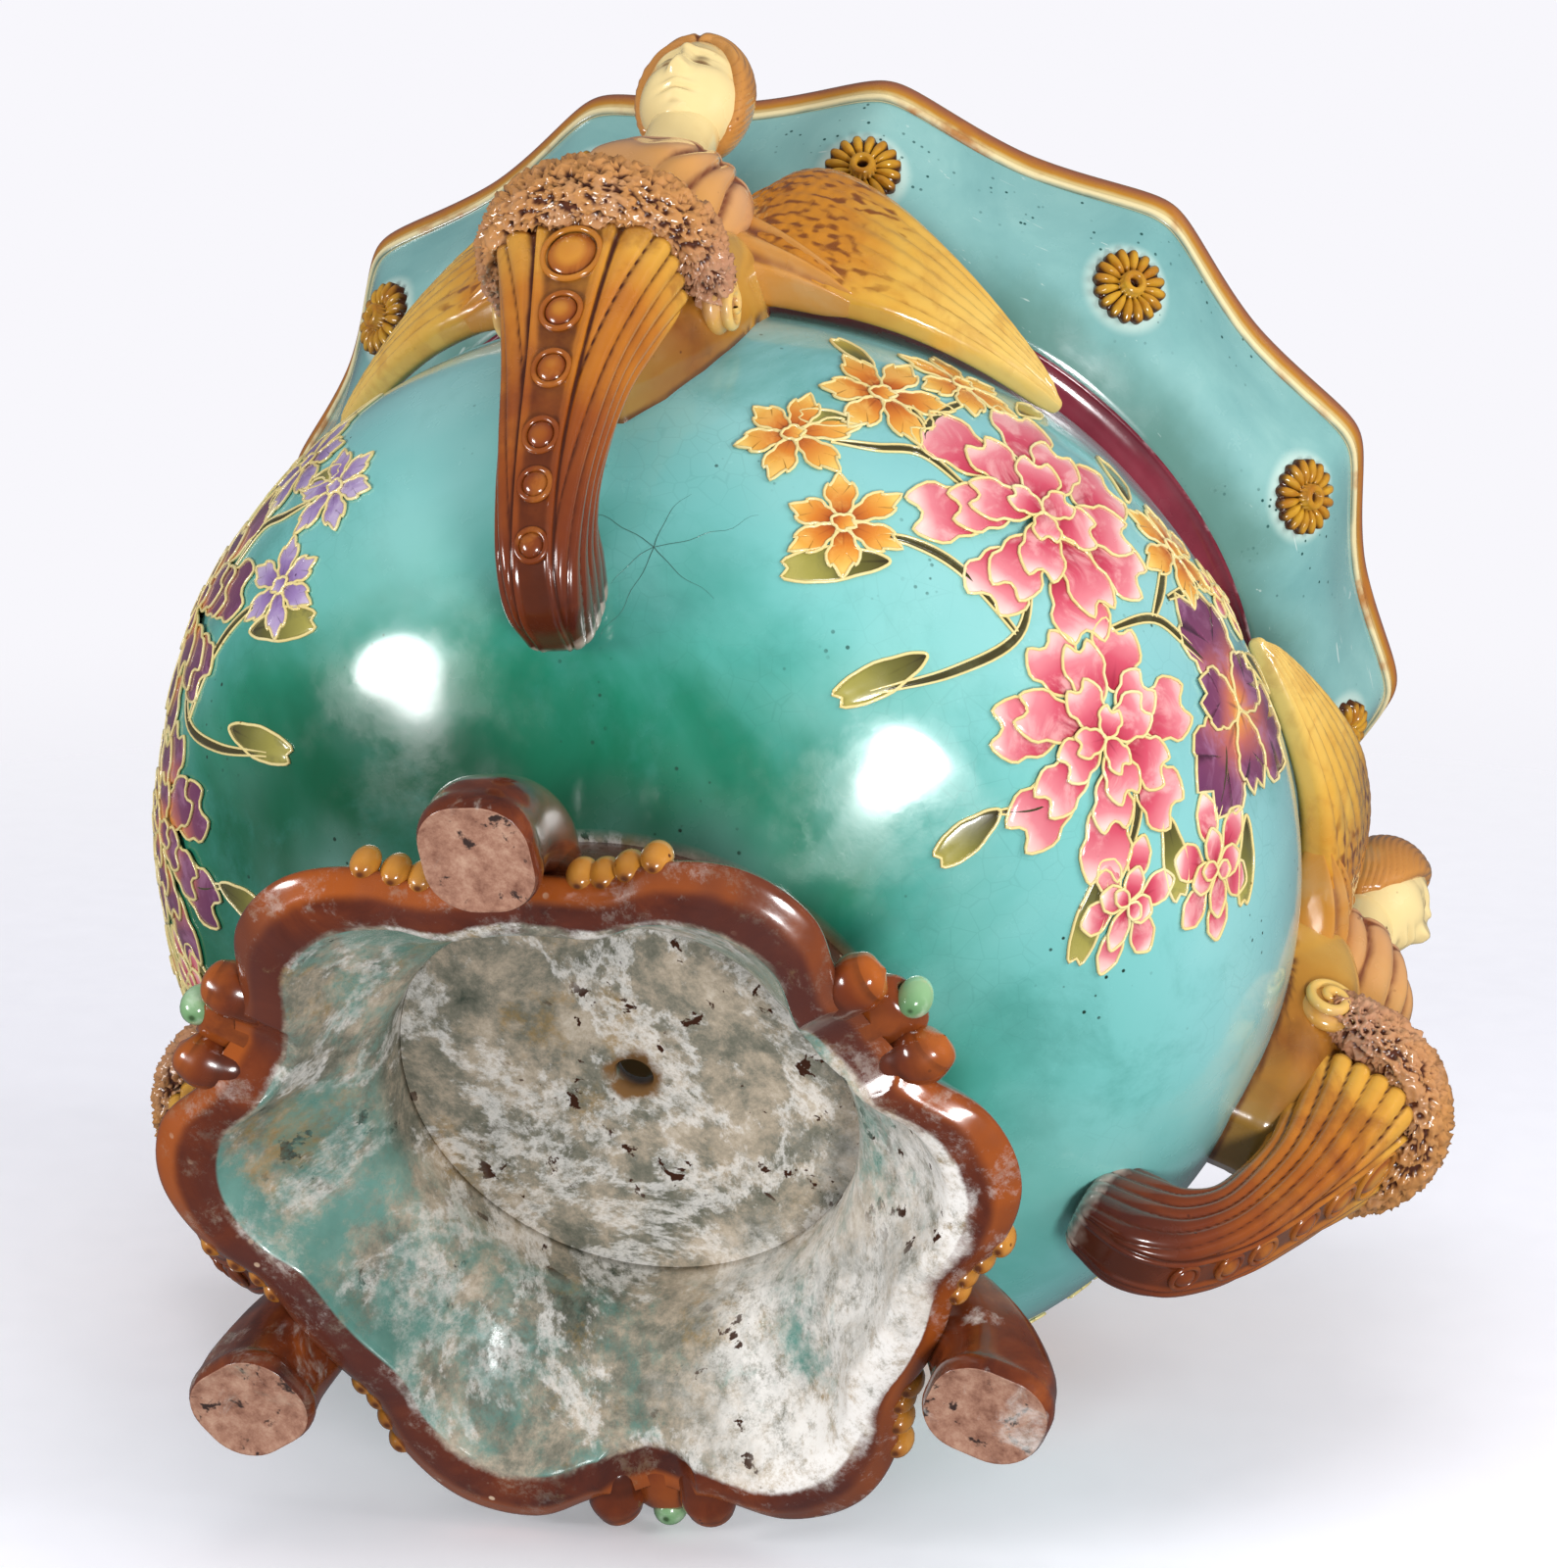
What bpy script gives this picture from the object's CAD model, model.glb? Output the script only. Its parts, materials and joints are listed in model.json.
import json
import math

import bmesh
import bpy
import numpy as np
from mathutils import Matrix, Vector, noise

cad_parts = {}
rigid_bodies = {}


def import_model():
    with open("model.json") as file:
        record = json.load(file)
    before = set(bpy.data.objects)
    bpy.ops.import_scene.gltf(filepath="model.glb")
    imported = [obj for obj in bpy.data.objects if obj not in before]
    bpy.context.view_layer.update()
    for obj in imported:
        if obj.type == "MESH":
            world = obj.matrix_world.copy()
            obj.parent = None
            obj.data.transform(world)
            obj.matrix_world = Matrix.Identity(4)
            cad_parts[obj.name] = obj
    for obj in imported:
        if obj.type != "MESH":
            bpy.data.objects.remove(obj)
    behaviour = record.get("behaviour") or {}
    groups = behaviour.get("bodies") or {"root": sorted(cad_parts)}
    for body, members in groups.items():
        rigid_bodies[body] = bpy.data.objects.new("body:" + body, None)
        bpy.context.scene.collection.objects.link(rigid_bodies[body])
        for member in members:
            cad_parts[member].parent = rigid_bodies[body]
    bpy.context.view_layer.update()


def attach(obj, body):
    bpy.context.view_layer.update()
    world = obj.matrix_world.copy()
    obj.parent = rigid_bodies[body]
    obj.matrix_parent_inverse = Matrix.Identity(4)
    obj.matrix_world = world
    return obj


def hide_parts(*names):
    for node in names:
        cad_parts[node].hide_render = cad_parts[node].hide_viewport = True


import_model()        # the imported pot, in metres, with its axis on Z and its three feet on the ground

# Bowl
# The belly is thrown faience with a flat floor and a drain hole. Its turquoise glaze ran down in the kiln
# and lies deep and green near the foot. Age has crazed it, and lime has dried under the floor.
FOOT_Z = 0.086
FOOT_R = 0.094
BELLY_R = 0.200
BELLY_Z = 0.222
SHOULDER_R = 0.164
SHOULDER_Z = 0.316
BOWL_WALL = 0.009
DRAIN_R = 0.007
# Corners of the bowl's curve: share of the way out, share of the way up, bulge of the arc to the next corner
LOWER_CURVE = ((0.0, 0.0, 0.015), (0.519, 0.221, 0.075), (0.877, 0.544, 0.052))
UPPER_CURVE = ((1.0, 0.0, 0.059), (0.75, 0.4255, 0.012))


def arcs(corners, steps):
    """Points along arcs through corners of reach, height and bulge, which is a share of the arc's chord."""
    points = []
    place = np.linspace(-1, 1, steps, endpoint=False)[:, None]
    for (reach, height, bulge), (next_reach, next_height, _) in zip(corners, corners[1:]):
        chord = np.array([next_reach - reach, next_height - height])
        side = np.array([chord[1], -chord[0]])
        middle = np.array([next_reach + reach, next_height + height]) / 2
        if bulge:
            half = 2 * math.atan(2 * bulge)
            along = np.sin(half * place) / (2 * math.sin(half))
            rise = (np.cos(half * place) - math.cos(half)) / (2 * math.sin(half))
        else:
            along = place / 2
            rise = 0 * place
        points.append(middle + along * chord + rise * side)
    points.append(np.array([corners[-1][:2]]))
    return np.vstack(points)


def bowl_curve(thickness):
    """The bowl's wall from foot to shoulder, set in by a thickness."""
    low_z = FOOT_Z + thickness
    corners = []
    for out, up, bulge in LOWER_CURVE:
        corners.append((FOOT_R + (BELLY_R - FOOT_R) * out - thickness, low_z + (BELLY_Z - low_z) * up, bulge))
    for out, up, bulge in UPPER_CURVE:
        reach = SHOULDER_R + (BELLY_R - SHOULDER_R) * out
        corners.append((reach - thickness, BELLY_Z + (SHOULDER_Z - BELLY_Z) * up, bulge))
    corners.append((SHOULDER_R - thickness, SHOULDER_Z, 0))
    return arcs(corners, 14)


def turned(profile, columns=300):
    """A grid of points from a profile of reach and height turned about the pot's axis."""
    angle = np.linspace(0, 2 * np.pi, columns, endpoint=False)
    reach = profile[:, :1]
    height = np.broadcast_to(profile[:, 1:], (len(profile), columns))
    return np.stack([reach * np.cos(angle), reach * np.sin(angle), height], -1)


def piece(name, patches, glaze, slot, *nodes):
    """One object from patches: each a grid of points, how it closes, and the marks that its glaze reads."""
    points = []
    faces = []
    marks = {mark: [] for mark in patches[0][2]}
    first = 0
    for grid, closed, numbers in patches:
        rows, columns = grid.shape[:2]
        index = first + np.arange(rows * columns).reshape(rows, columns)
        first += rows * columns
        if "around" in closed:
            index = np.hstack([index, index[:, :1]])
        if "along" in closed:
            index = np.vstack([index, index[:1]])
        corners = [index[:-1, :-1], index[:-1, 1:], index[1:, 1:], index[1:, :-1]]
        faces.append(np.stack(corners, -1).reshape(-1, 4))
        points.append(grid.reshape(-1, 3))
        for mark in marks:
            marks[mark].append(np.broadcast_to(numbers[mark], (rows, columns)).ravel())
    mesh = bpy.data.meshes.new(name)
    mesh.from_pydata(np.vstack(points).tolist(), [], np.vstack(faces).tolist())
    for mark, numbers in marks.items():
        layer = mesh.attributes.new(mark, "FLOAT", "POINT")
        layer.data.foreach_set("value", np.concatenate(numbers).astype(np.float32))
    work = bmesh.new()
    work.from_mesh(mesh)
    bmesh.ops.remove_doubles(work, verts=work.verts, dist=1e-6)
    bmesh.ops.recalc_face_normals(work, faces=work.faces)
    work.to_mesh(mesh)
    work.free()
    mesh.shade_smooth()
    mesh.materials.append(glaze.material)
    made = bpy.data.objects.new(name, mesh)
    bpy.context.scene.collection.objects.link(made)
    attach(made, "root")
    if nodes:
        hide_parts(*nodes)
    return made


def paint(red, green, blue):
    """A glaze colour given as the eye sees it, from 0 to 255."""
    share = np.array([red, green, blue]) / 255
    linear = np.where(share < 0.04045, share / 12.92, ((share + 0.055) / 1.055) ** 2.4)
    return (*linear.tolist(), 1.0)


class Glaze:
    """A fired glaze. Each method adds nodes to its shader and gives back their output."""

    def __init__(self, name, roughness=0.25, coat=0.7):
        self.material = bpy.data.materials.new(name)
        self.material.use_nodes = True
        self.tree = self.material.node_tree
        self.shader = self.tree.nodes["Principled BSDF"]
        self.shader.inputs["Roughness"].default_value = roughness
        self.shader.inputs["Coat Weight"].default_value = coat
        self.shader.inputs["Coat Roughness"].default_value = 0.11
        self.place = self.node("ShaderNodeTexCoord", "Object")
        self.matt = None

    def node(self, kind, output, sockets=(), **settings):
        made = self.tree.nodes.new(kind)
        for key, value in settings.items():
            setattr(made, key, value)
        for key, value in sockets:
            self.feed(made.inputs[key], value)
        return made.outputs[output]

    def feed(self, socket, value):
        if isinstance(value, bpy.types.NodeSocket):
            self.tree.links.new(value, socket)
        else:
            socket.default_value = value

    def mark(self, name):
        return self.node("ShaderNodeAttribute", "Fac", attribute_name=name)

    def height(self):
        return self.node("ShaderNodeSeparateXYZ", "Z", [("Vector", self.place)])

    def moved(self, offset, stretch=(1, 1, 1)):
        sockets = [("Vector", self.place), ("Location", (offset, offset, offset)), ("Scale", stretch)]
        return self.node("ShaderNodeMapping", "Vector", sockets)

    def cloud(self, scale, detail=4.0, rough=0.55, warp=0.0, offset=0.0, stretch=(1, 1, 1)):
        sockets = [("Vector", self.moved(offset, stretch)), ("Scale", scale), ("Detail", detail)]
        sockets += [("Roughness", rough), ("Distortion", warp)]
        return self.node("ShaderNodeTexNoise", 0, sockets)

    def cells(self, scale, feature="F1", offset=0.0):
        sockets = [("Vector", self.moved(offset)), ("Scale", scale)]
        return self.node("ShaderNodeTexVoronoi", "Distance", sockets, feature=feature)

    def count(self, operation, first, second=0.0, third=0.0):
        return self.node("ShaderNodeMath", 0, [(0, first), (1, second), (2, third)], operation=operation)

    def stir(self, value, cloud, amount):
        """A value made uneven by a share of a cloud."""
        return self.count("MULTIPLY_ADD", cloud, amount, value)

    def toward(self, x, y):
        """How far a place lies towards one side of the pot."""
        sockets = [(0, self.place), (1, (x, y, 0.0))]
        return self.node("ShaderNodeVectorMath", "Value", sockets, operation="DOT_PRODUCT")

    def ease(self, value, low, high):
        """0 below low, 1 above high and smooth between them."""
        sockets = [("Value", value), ("From Min", low), ("From Max", high)]
        return self.node("ShaderNodeMapRange", "Result", sockets, interpolation_type="SMOOTHSTEP")

    def ramp(self, value, *stops):
        made = self.tree.nodes.new("ShaderNodeValToRGB")
        self.feed(made.inputs[0], value)
        band = made.color_ramp.elements
        while len(band) < len(stops):
            band.new(0.5)
        for element, (position, colour) in zip(band, stops):
            element.position = position
        for element, (position, colour) in zip(band, stops):
            element.color = paint(*colour)
        return made.outputs[0]

    def blend(self, share, low, high, way="MIX"):
        made = self.tree.nodes.new("ShaderNodeMix")
        made.data_type = "RGBA"
        made.blend_type = way
        self.feed(made.inputs[0], share)
        for number, colour in ((6, low), (7, high)):
            plain = not isinstance(colour, bpy.types.NodeSocket)
            self.feed(made.inputs[number], paint(*colour) if plain else colour)
        return made.outputs[2]

    def specks(self, colour, tone, scale, size, spread):
        """Pin holes and specks of another tone, scattered where a cloud is dense."""
        dots = self.count("SUBTRACT", 1.0, self.ease(self.cells(scale), size * 0.6, size))
        where = self.ease(self.cloud(scale * 0.1, offset=scale), spread, spread + 0.1)
        return self.blend(self.count("MULTIPLY", dots, where), colour, tone)

    def lime(self, colour, share):
        """Dried lime, grey to white, over a colour: clouds, veins and a little ochre."""
        grey = self.ramp(
            self.cloud(26, 12, 0.78, 0.15),
            (0.32, (62, 70, 60)),
            (0.46, (122, 119, 105)),
            (0.56, (174, 160, 140)),
            (0.7, (216, 205, 188)),
        )
        stain = self.ease(self.cloud(13, 9, 0.74, 0.1, 5.0), 0.53, 0.62)
        grey = self.blend(self.count("MULTIPLY", stain, 0.55), grey, (156, 122, 58))
        vein = self.count("ABSOLUTE", self.count("SUBTRACT", self.cloud(13, 12, 0.72, 0.3, 2.0), 0.5))
        white = self.count("MULTIPLY", self.count("SUBTRACT", 1.0, self.ease(vein, 0.0, 0.045)), 0.6)
        drift = self.stir(self.toward(0.87, -0.5), self.cloud(18, 10, 0.75, 0.2, 11.0), 0.2)
        white = self.count("MAXIMUM", white, self.count("MULTIPLY", self.ease(drift, 0.15, 0.22), 0.9))
        dusty = self.count("MULTIPLY", white, self.ease(self.cloud(120, 6, 0.85), 0.3, 0.56))
        grey = self.blend(dusty, grey, (240, 236, 230))
        chips = self.ease(self.cloud(95, 5, 0.6, 0.3, 3.0), 0.62, 0.65)
        chips = self.count("MULTIPLY", chips, self.ease(self.cloud(9, 2, offset=7.0), 0.48, 0.56))
        grey = self.blend(chips, grey, (58, 32, 20))
        self.matt = share
        return self.blend(share, colour, grey)

    def finish(self, colour, grain=0.15, depth=0.0004, size=220.0):
        """Joins the colour to the shader, with a fine ripple in the glaze and a finer one in its gloss."""
        self.feed(self.shader.inputs["Base Color"], colour)
        ripple = self.cloud(size, 3, 0.6)
        height = self.stir(self.cloud(size * 0.12, 2, 0.5, offset=1.0), ripple, grain)
        sockets = [("Height", height), ("Distance", depth), ("Strength", 0.6)]
        self.feed(self.shader.inputs["Normal"], self.node("ShaderNodeBump", "Normal", sockets))
        dull = self.ease(self.cloud(size * 0.25, 4, offset=4.0), 0.35, 0.75)
        sockets = [("Value", dull), ("To Min", 0.14), ("To Max", 0.34)]
        gloss = self.node("ShaderNodeMapRange", "Result", sockets)
        if self.matt is not None:
            gloss = self.stir(gloss, self.matt, 0.5)
            bare = self.count("SUBTRACT", 1.0, self.matt)
            self.feed(self.shader.inputs["Coat Weight"], self.count("MULTIPLY", bare, 0.7))
            self.feed(self.shader.inputs["Specular IOR Level"], self.count("MULTIPLY_ADD", bare, 0.4, 0.1))
        self.feed(self.shader.inputs["Roughness"], gloss)
        return self


turquoise = Glaze("turquoise_glaze")
level = turquoise.stir(turquoise.height(), turquoise.cloud(9, 5, 0.6, 0.6), 0.075)
level = turquoise.count("ADD", level, turquoise.toward(0.13, -0.17))
level = turquoise.ease(level, FOOT_Z + 0.02, SHOULDER_Z + 0.03)
glaze_colour = turquoise.ramp(
    level,
    (0.0, (6, 84, 52)),
    (0.06, (26, 122, 94)),
    (0.14, (76, 162, 148)),
    (0.27, (114, 188, 182)),
    (0.55, (132, 194, 192)),
    (1.0, (128, 178, 180)),
)
streak = turquoise.ease(turquoise.cloud(15, 8, 0.68, 0.4, 3.0), 0.48, 0.72)
glaze_colour = turquoise.blend(turquoise.count("MULTIPLY", streak, 0.55), glaze_colour, (64, 140, 128))
pale = turquoise.ease(turquoise.cloud(10, 3, 0.5, 0.2, 9.0), 0.42, 0.8)
glaze_colour = turquoise.blend(turquoise.count("MULTIPLY", pale, 0.4), glaze_colour, (168, 218, 212))
craze = turquoise.cells(120, "DISTANCE_TO_EDGE")
craze_line = turquoise.count("SUBTRACT", 1.0, turquoise.ease(craze, 0.0, 0.035))
craze_where = turquoise.ease(turquoise.cloud(12, 2, offset=6.0), 0.45, 0.65)
craze_share = turquoise.count("MULTIPLY", craze_line, turquoise.count("MULTIPLY", craze_where, 0.12))
glaze_colour = turquoise.blend(craze_share, glaze_colour, (30, 92, 82))
glaze_colour = turquoise.specks(glaze_colour, (22, 52, 40), 190, 0.16, 0.54)
glaze_colour = turquoise.lime(glaze_colour, turquoise.mark("lime"))
rust = turquoise.count("MULTIPLY", turquoise.mark("drain"), turquoise.cloud(160, 4))
glaze_colour = turquoise.blend(turquoise.ease(rust, 0.2, 0.45), glaze_colour, (122, 88, 52))
turquoise.finish(glaze_colour)

outer_wall = bowl_curve(0.0)
inner_wall = bowl_curve(BOWL_WALL)
floor_reach = np.linspace(DRAIN_R, FOOT_R, 14)[:-1]
under_floor = np.column_stack([floor_reach, np.full(13, FOOT_Z)])
upper_floor = np.column_stack([floor_reach[::-1], np.full(13, FOOT_Z + BOWL_WALL)])
bowl_profile = np.vstack([under_floor, outer_wall, inner_wall[::-1], upper_floor])
bowl_grid = turned(bowl_profile)
lime_share = np.zeros(len(bowl_profile))
lime_share[: len(under_floor) + 1] = 1.0
drain_share = np.exp(-(bowl_profile[:, 0] - DRAIN_R) / 0.004)
drain_share[-len(upper_floor) :] = 1.0
inside_rows = slice(-len(upper_floor) - len(inner_wall), -len(upper_floor))
drain_share[inside_rows] = np.interp(inner_wall[::-1, 1], [0.23, 0.29], [0, 1])
bowl_marks = {"lime": lime_share[:, None], "drain": drain_share[:, None]}
piece("bowl_body", [(bowl_grid, "around along", bowl_marks)], turquoise, "turquoise_glaze", "bowl")

# Painted sprays
# Three sprays of garden flowers lie round the belly. Each petal is a pool of coloured enamel inside a raised
# line of cream slip, which was piped on to the raw glaze and fired with it.
SPRAY_Z = 0.188
SLIP_R = 0.00058
ENAMEL_H = 0.0006
WALL_STEP = 0.002
SLIP_MARKS = {"along": 0.5, "recess": 0.0}
# Rings of a flower: petals, their start, length and width as shares of its size, turn of the ring
DOUBLE_FLOWER = (
    (7, 0.40, 0.60, 0.31, 0.0),
    (6, 0.22, 0.52, 0.25, 0.4),
    (4, 0.06, 0.44, 0.22, 0.2),
    (3, 0.0, 0.26, 0.14, 0.9),
)
SMALL_FLOWER = ((6, 0.34, 0.66, 0.34, 0.0), (4, 0.06, 0.55, 0.28, 0.5), (2, 0.0, 0.32, 0.17, 0.2))
STAR_FLOWER = ((6, 0.12, 0.88, 0.33, 0.0), (1, -0.22, 0.44, 0.22, 0.0))
BROAD_FLOWER = ((3, 0.05, 0.95, 0.56, 0.3), (3, 0.02, 0.66, 0.34, 1.3))
# Flowers of a spray: kind, place aside and up the wall from the panel's middle, size, turn
SPRAY_FLOWERS = (
    ("rose", -0.034, 0.012, 0.047, 0.2),
    ("rose", 0.024, -0.040, 0.041, 1.1),
    ("lily", 0.066, 0.022, 0.038, 0.4),
    ("bud", 0.092, -0.026, 0.022, 0.7),
    ("bud", 0.070, -0.064, 0.019, 0.1),
    ("star", -0.098, 0.030, 0.021, 0.3),
    ("star", -0.074, 0.058, 0.019, 0.9),
    ("star", -0.118, -0.002, 0.018, 0.6),
    ("star", -0.088, -0.030, 0.018, 0.0),
    ("star", 0.016, 0.052, 0.020, 0.2),
    ("bud", 0.044, 0.066, 0.015, 0.5),
)
# Leaves of a spray: place aside and up, length, half width, turn
SPRAY_LEAVES = (
    (-0.068, -0.036, 0.032, 0.0084, -2.6),
    (-0.040, -0.058, 0.030, 0.0078, -2.0),
    (0.054, -0.066, 0.028, 0.0074, -0.9),
    (0.060, -0.036, 0.028, 0.0072, -0.3),
    (0.092, 0.000, 0.028, 0.0070, -0.6),
    (0.062, 0.050, 0.028, 0.0068, 0.7),
    (-0.006, 0.054, 0.028, 0.0068, 1.9),
    (-0.052, 0.060, 0.024, 0.0058, 1.2),
    (-0.104, 0.044, 0.020, 0.0054, 2.4),
    (-0.100, 0.012, 0.020, 0.0050, -2.9),
    (0.012, -0.082, 0.026, 0.0070, -1.7),
)
# Stems of a spray, each a run of places aside and up
SPRAY_STEMS = (
    ((-0.046, -0.078), (-0.030, -0.058), (-0.020, -0.034), (-0.028, -0.010)),
    ((-0.020, -0.034), (-0.048, -0.026), (-0.066, -0.026), (-0.078, -0.030)),
    ((-0.058, 0.004), (-0.078, 0.010), (-0.092, 0.004), (-0.106, 0.000)),
    ((-0.074, 0.009), (-0.080, 0.020), (-0.076, 0.038), (-0.067, 0.052)),
    ((-0.078, 0.018), (-0.083, 0.024), (-0.088, 0.030)),
    ((0.004, -0.010), (0.018, 0.012), (0.036, 0.018), (0.060, 0.024)),
    ((0.018, 0.012), (0.016, 0.028), (0.012, 0.047)),
    ((0.020, 0.026), (0.028, 0.044), (0.034, 0.062)),
    ((0.060, 0.010), (0.072, 0.000), (0.083, -0.022)),
    ((0.036, -0.036), (0.050, -0.044), (0.061, -0.062)),
    ((0.024, -0.060), (0.021, -0.072), (0.012, -0.083)),
)
# Kinds of flower: rings, depth of the ruffle on a petal's edge, its waves
PETAL_KINDS = {
    "rose": (DOUBLE_FLOWER, 0.13, 5),
    "bud": (SMALL_FLOWER, 0.1, 4),
    "star": (STAR_FLOWER, 0.14, 6),
    "lily": (BROAD_FLOWER, 0.1, 9),
}
# Panels: middle of the panel, which way it is turned, enamel of each kind of flower
SPRAY_PANELS = (
    (264, 1, {"rose": "rose", "bud": "rose", "star": "orange", "lily": "violet"}),
    (146, -1, {"rose": "violet", "bud": "rose", "star": "lilac", "lily": "orange"}),
    (30, 1, {"rose": "orange", "bud": "lilac", "star": "rose", "lily": "violet"}),
)
wall_run = np.concatenate([[0], np.cumsum(np.linalg.norm(np.diff(outer_wall, axis=0), axis=1))])
spray_run = np.interp(SPRAY_Z, outer_wall[:, 1], wall_run)


def on_wall(run):
    """Reach and height at a run up the outside of the bowl's wall."""
    return np.interp(run, wall_run, outer_wall[:, 0]), np.interp(run, wall_run, outer_wall[:, 1])


def on_bowl(azimuth, aside, along, lift):
    """Points on the bowl, aside and up the wall from the middle of a panel, lifted off the glaze."""
    run = spray_run + along
    reach, height = on_wall(run)
    reach_ahead, height_ahead = on_wall(run + WALL_STEP)
    reach_behind, height_behind = on_wall(run - WALL_STEP)
    slope_out = reach_ahead - reach_behind
    slope_up = height_ahead - height_behind
    size = np.hypot(slope_out, slope_up)
    angle = math.radians(azimuth) + aside / reach
    out = reach + lift * slope_up / size
    return np.stack([out * np.cos(angle), out * np.sin(angle), height - lift * slope_out / size], -1)


def tube(path, radius, columns=20, flat=1.0, beside=(0, 0, 1)):
    """Rings of points along a path. Beside is a direction that the path doesn't run along."""
    path = np.asarray(path, float)
    onward = np.gradient(path, axis=0)
    onward /= np.linalg.norm(onward, axis=1, keepdims=True)
    aside = np.cross(onward, beside)
    aside /= np.linalg.norm(aside, axis=1, keepdims=True)
    above = np.cross(aside, onward)
    turn = np.linspace(0, 2 * np.pi, columns, endpoint=False)[None, :, None]
    radius = np.broadcast_to(radius, len(path))[:, None, None]
    return path[:, None] + radius * (aside[:, None] * np.cos(turn) + above[:, None] * np.sin(turn) * flat)


def through(table, steps):
    """The rows of a table with smooth rows put in between them."""
    rows = np.array(table, float)
    ends = np.vstack([2 * rows[0] - rows[1], rows, 2 * rows[-1] - rows[-2]])
    place = np.arange(steps)[:, None] / steps
    made = []
    for before, start, stop, after in zip(ends, ends[1:], ends[2:], ends[3:]):
        rise = (stop - before) * place
        turn = (2 * before - 5 * start + 4 * stop - after) * place**2
        bend = (3 * start - before - 3 * stop + after) * place**3
        made.append(start + (rise + turn + bend) / 2)
    made.append(rows[-1:])
    return np.vstack(made)


enamels = {colour: [] for colour in ("rose", "orange", "violet", "lilac", "leaf")}
slip_lines = []


def enamel_leaf(colour, panel, middle, turn, start, length, half_width, ruffle, waves, level):
    """One petal or leaf: a raised pool of enamel with a line of slip round it."""
    azimuth, mirror = panel
    sweep = np.linspace(0, 2 * np.pi, 36, endpoint=False)
    tip = 0.5 - 0.5 * np.cos(sweep)
    along = length * (tip + ruffle * np.cos(waves * sweep) * tip**2)
    across = half_width * np.sin(sweep) * (0.5 + 0.5 * tip) * (1 + 0.8 * ruffle * np.cos((waves + 1) * sweep))
    rows = []
    marks_along = []
    marks_recess = []
    for share, lift in ((0.0, 1.0), (0.3, 0.98), (0.55, 0.9), (0.78, 0.75), (0.94, 0.5), (1.0, -0.4)):
        far = 0.52 * length + (along - 0.52 * length) * share
        side = across * share
        x = middle[0] + (start + far) * math.cos(turn) - side * math.sin(turn)
        y = middle[1] + (start + far) * math.sin(turn) + side * math.cos(turn)
        rows.append(on_bowl(azimuth, mirror * x, y, level + ENAMEL_H * lift))
        marks_along.append(np.clip(far / length, 0, 1))
        marks_recess.append(0.7 * np.exp(-((side / (0.10 * half_width)) ** 2)) * (1 - far / length))
    marks = {"along": np.array(marks_along), "recess": np.array(marks_recess)}
    enamels[colour].append((np.array(rows), "around", marks))
    edge = on_bowl(azimuth, mirror * x, y, level + 0.45 * ENAMEL_H)
    loop = np.vstack([edge[-1:], edge, edge[:1]])
    slip = tube(loop, SLIP_R, 6, 1.0, loop * np.array([1, 1, 0]))[1:-1]
    slip_lines.append((slip, "around along", SLIP_MARKS))


for azimuth, mirror, colours in SPRAY_PANELS:
    panel = (azimuth, mirror)
    for stem in SPRAY_STEMS:
        route = through(stem, 8)
        path = on_bowl(azimuth, mirror * route[:, 0], route[:, 1], 0.0002)
        thick = 0.0013 * np.sin(np.linspace(0.25, np.pi - 0.15, len(path)))
        stalk = tube(path, thick, 8, 0.6, path * np.array([1, 1, 0]))
        enamels["leaf"].append((stalk, "around", {"along": 0.0, "recess": 0.3}))
        for rim_side in (-1, 1):
            aside = np.gradient(route, axis=0)[:, ::-1] * np.array([1, -1])
            aside /= np.linalg.norm(aside, axis=1, keepdims=True)
            beside = route + rim_side * aside * (thick + 0.0004)[:, None]
            path = on_bowl(azimuth, mirror * beside[:, 0], beside[:, 1], 0.0003)
            slip = tube(path, SLIP_R * 0.8, 6, 1.0, path * np.array([1, 1, 0]))
            slip_lines.append((slip, "around", SLIP_MARKS))
    for aside, up, length, half_width, turn in SPRAY_LEAVES:
        enamel_leaf("leaf", panel, (aside, up), turn, 0.0, length, half_width, 0.05, 7, 0.0001)
    for kind, aside, up, size, turn in SPRAY_FLOWERS:
        rings, ruffle, waves = PETAL_KINDS[kind]
        for number, (petals, start, length, width, ring_turn) in enumerate(rings):
            for petal in range(petals):
                petal_turn = turn + ring_turn + 2 * math.pi * petal / petals
                uneven = 1 + 0.12 * math.sin(5 * petal + 3 * number + 40 * aside)
                enamel_leaf(
                    colours[kind],
                    panel,
                    (aside, up),
                    petal_turn,
                    start * size,
                    length * size * uneven,
                    width * size,
                    ruffle,
                    waves,
                    0.0002 + 0.0007 * number + 0.00005 * petal,
                )


def pooled(name, stops, pool, mottle, scale=40.0, amount=0.5, grain=0.15):
    """A glaze that turns from colour to colour along a piece, is mottled, and pools dark in its recesses."""
    glaze = Glaze(name)
    along = glaze.stir(glaze.count("SUBTRACT", glaze.mark("along"), 0.25), glaze.cloud(30, 4), 0.5)
    colour = glaze.ramp(along, *stops)
    blot = glaze.ease(glaze.cloud(scale, 5, 0.6, 0.6, 2.0), 0.48, 0.68)
    colour = glaze.blend(glaze.count("MULTIPLY", blot, amount), colour, mottle)
    deep = glaze.stir(glaze.count("SUBTRACT", glaze.mark("recess"), 0.25), glaze.cloud(90, 3), 0.5)
    colour = glaze.blend(glaze.ease(deep, 0.3, 0.85), colour, pool)
    colour = glaze.specks(colour, pool, 210, 0.16, 0.56)
    return glaze.finish(colour, grain)


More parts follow.
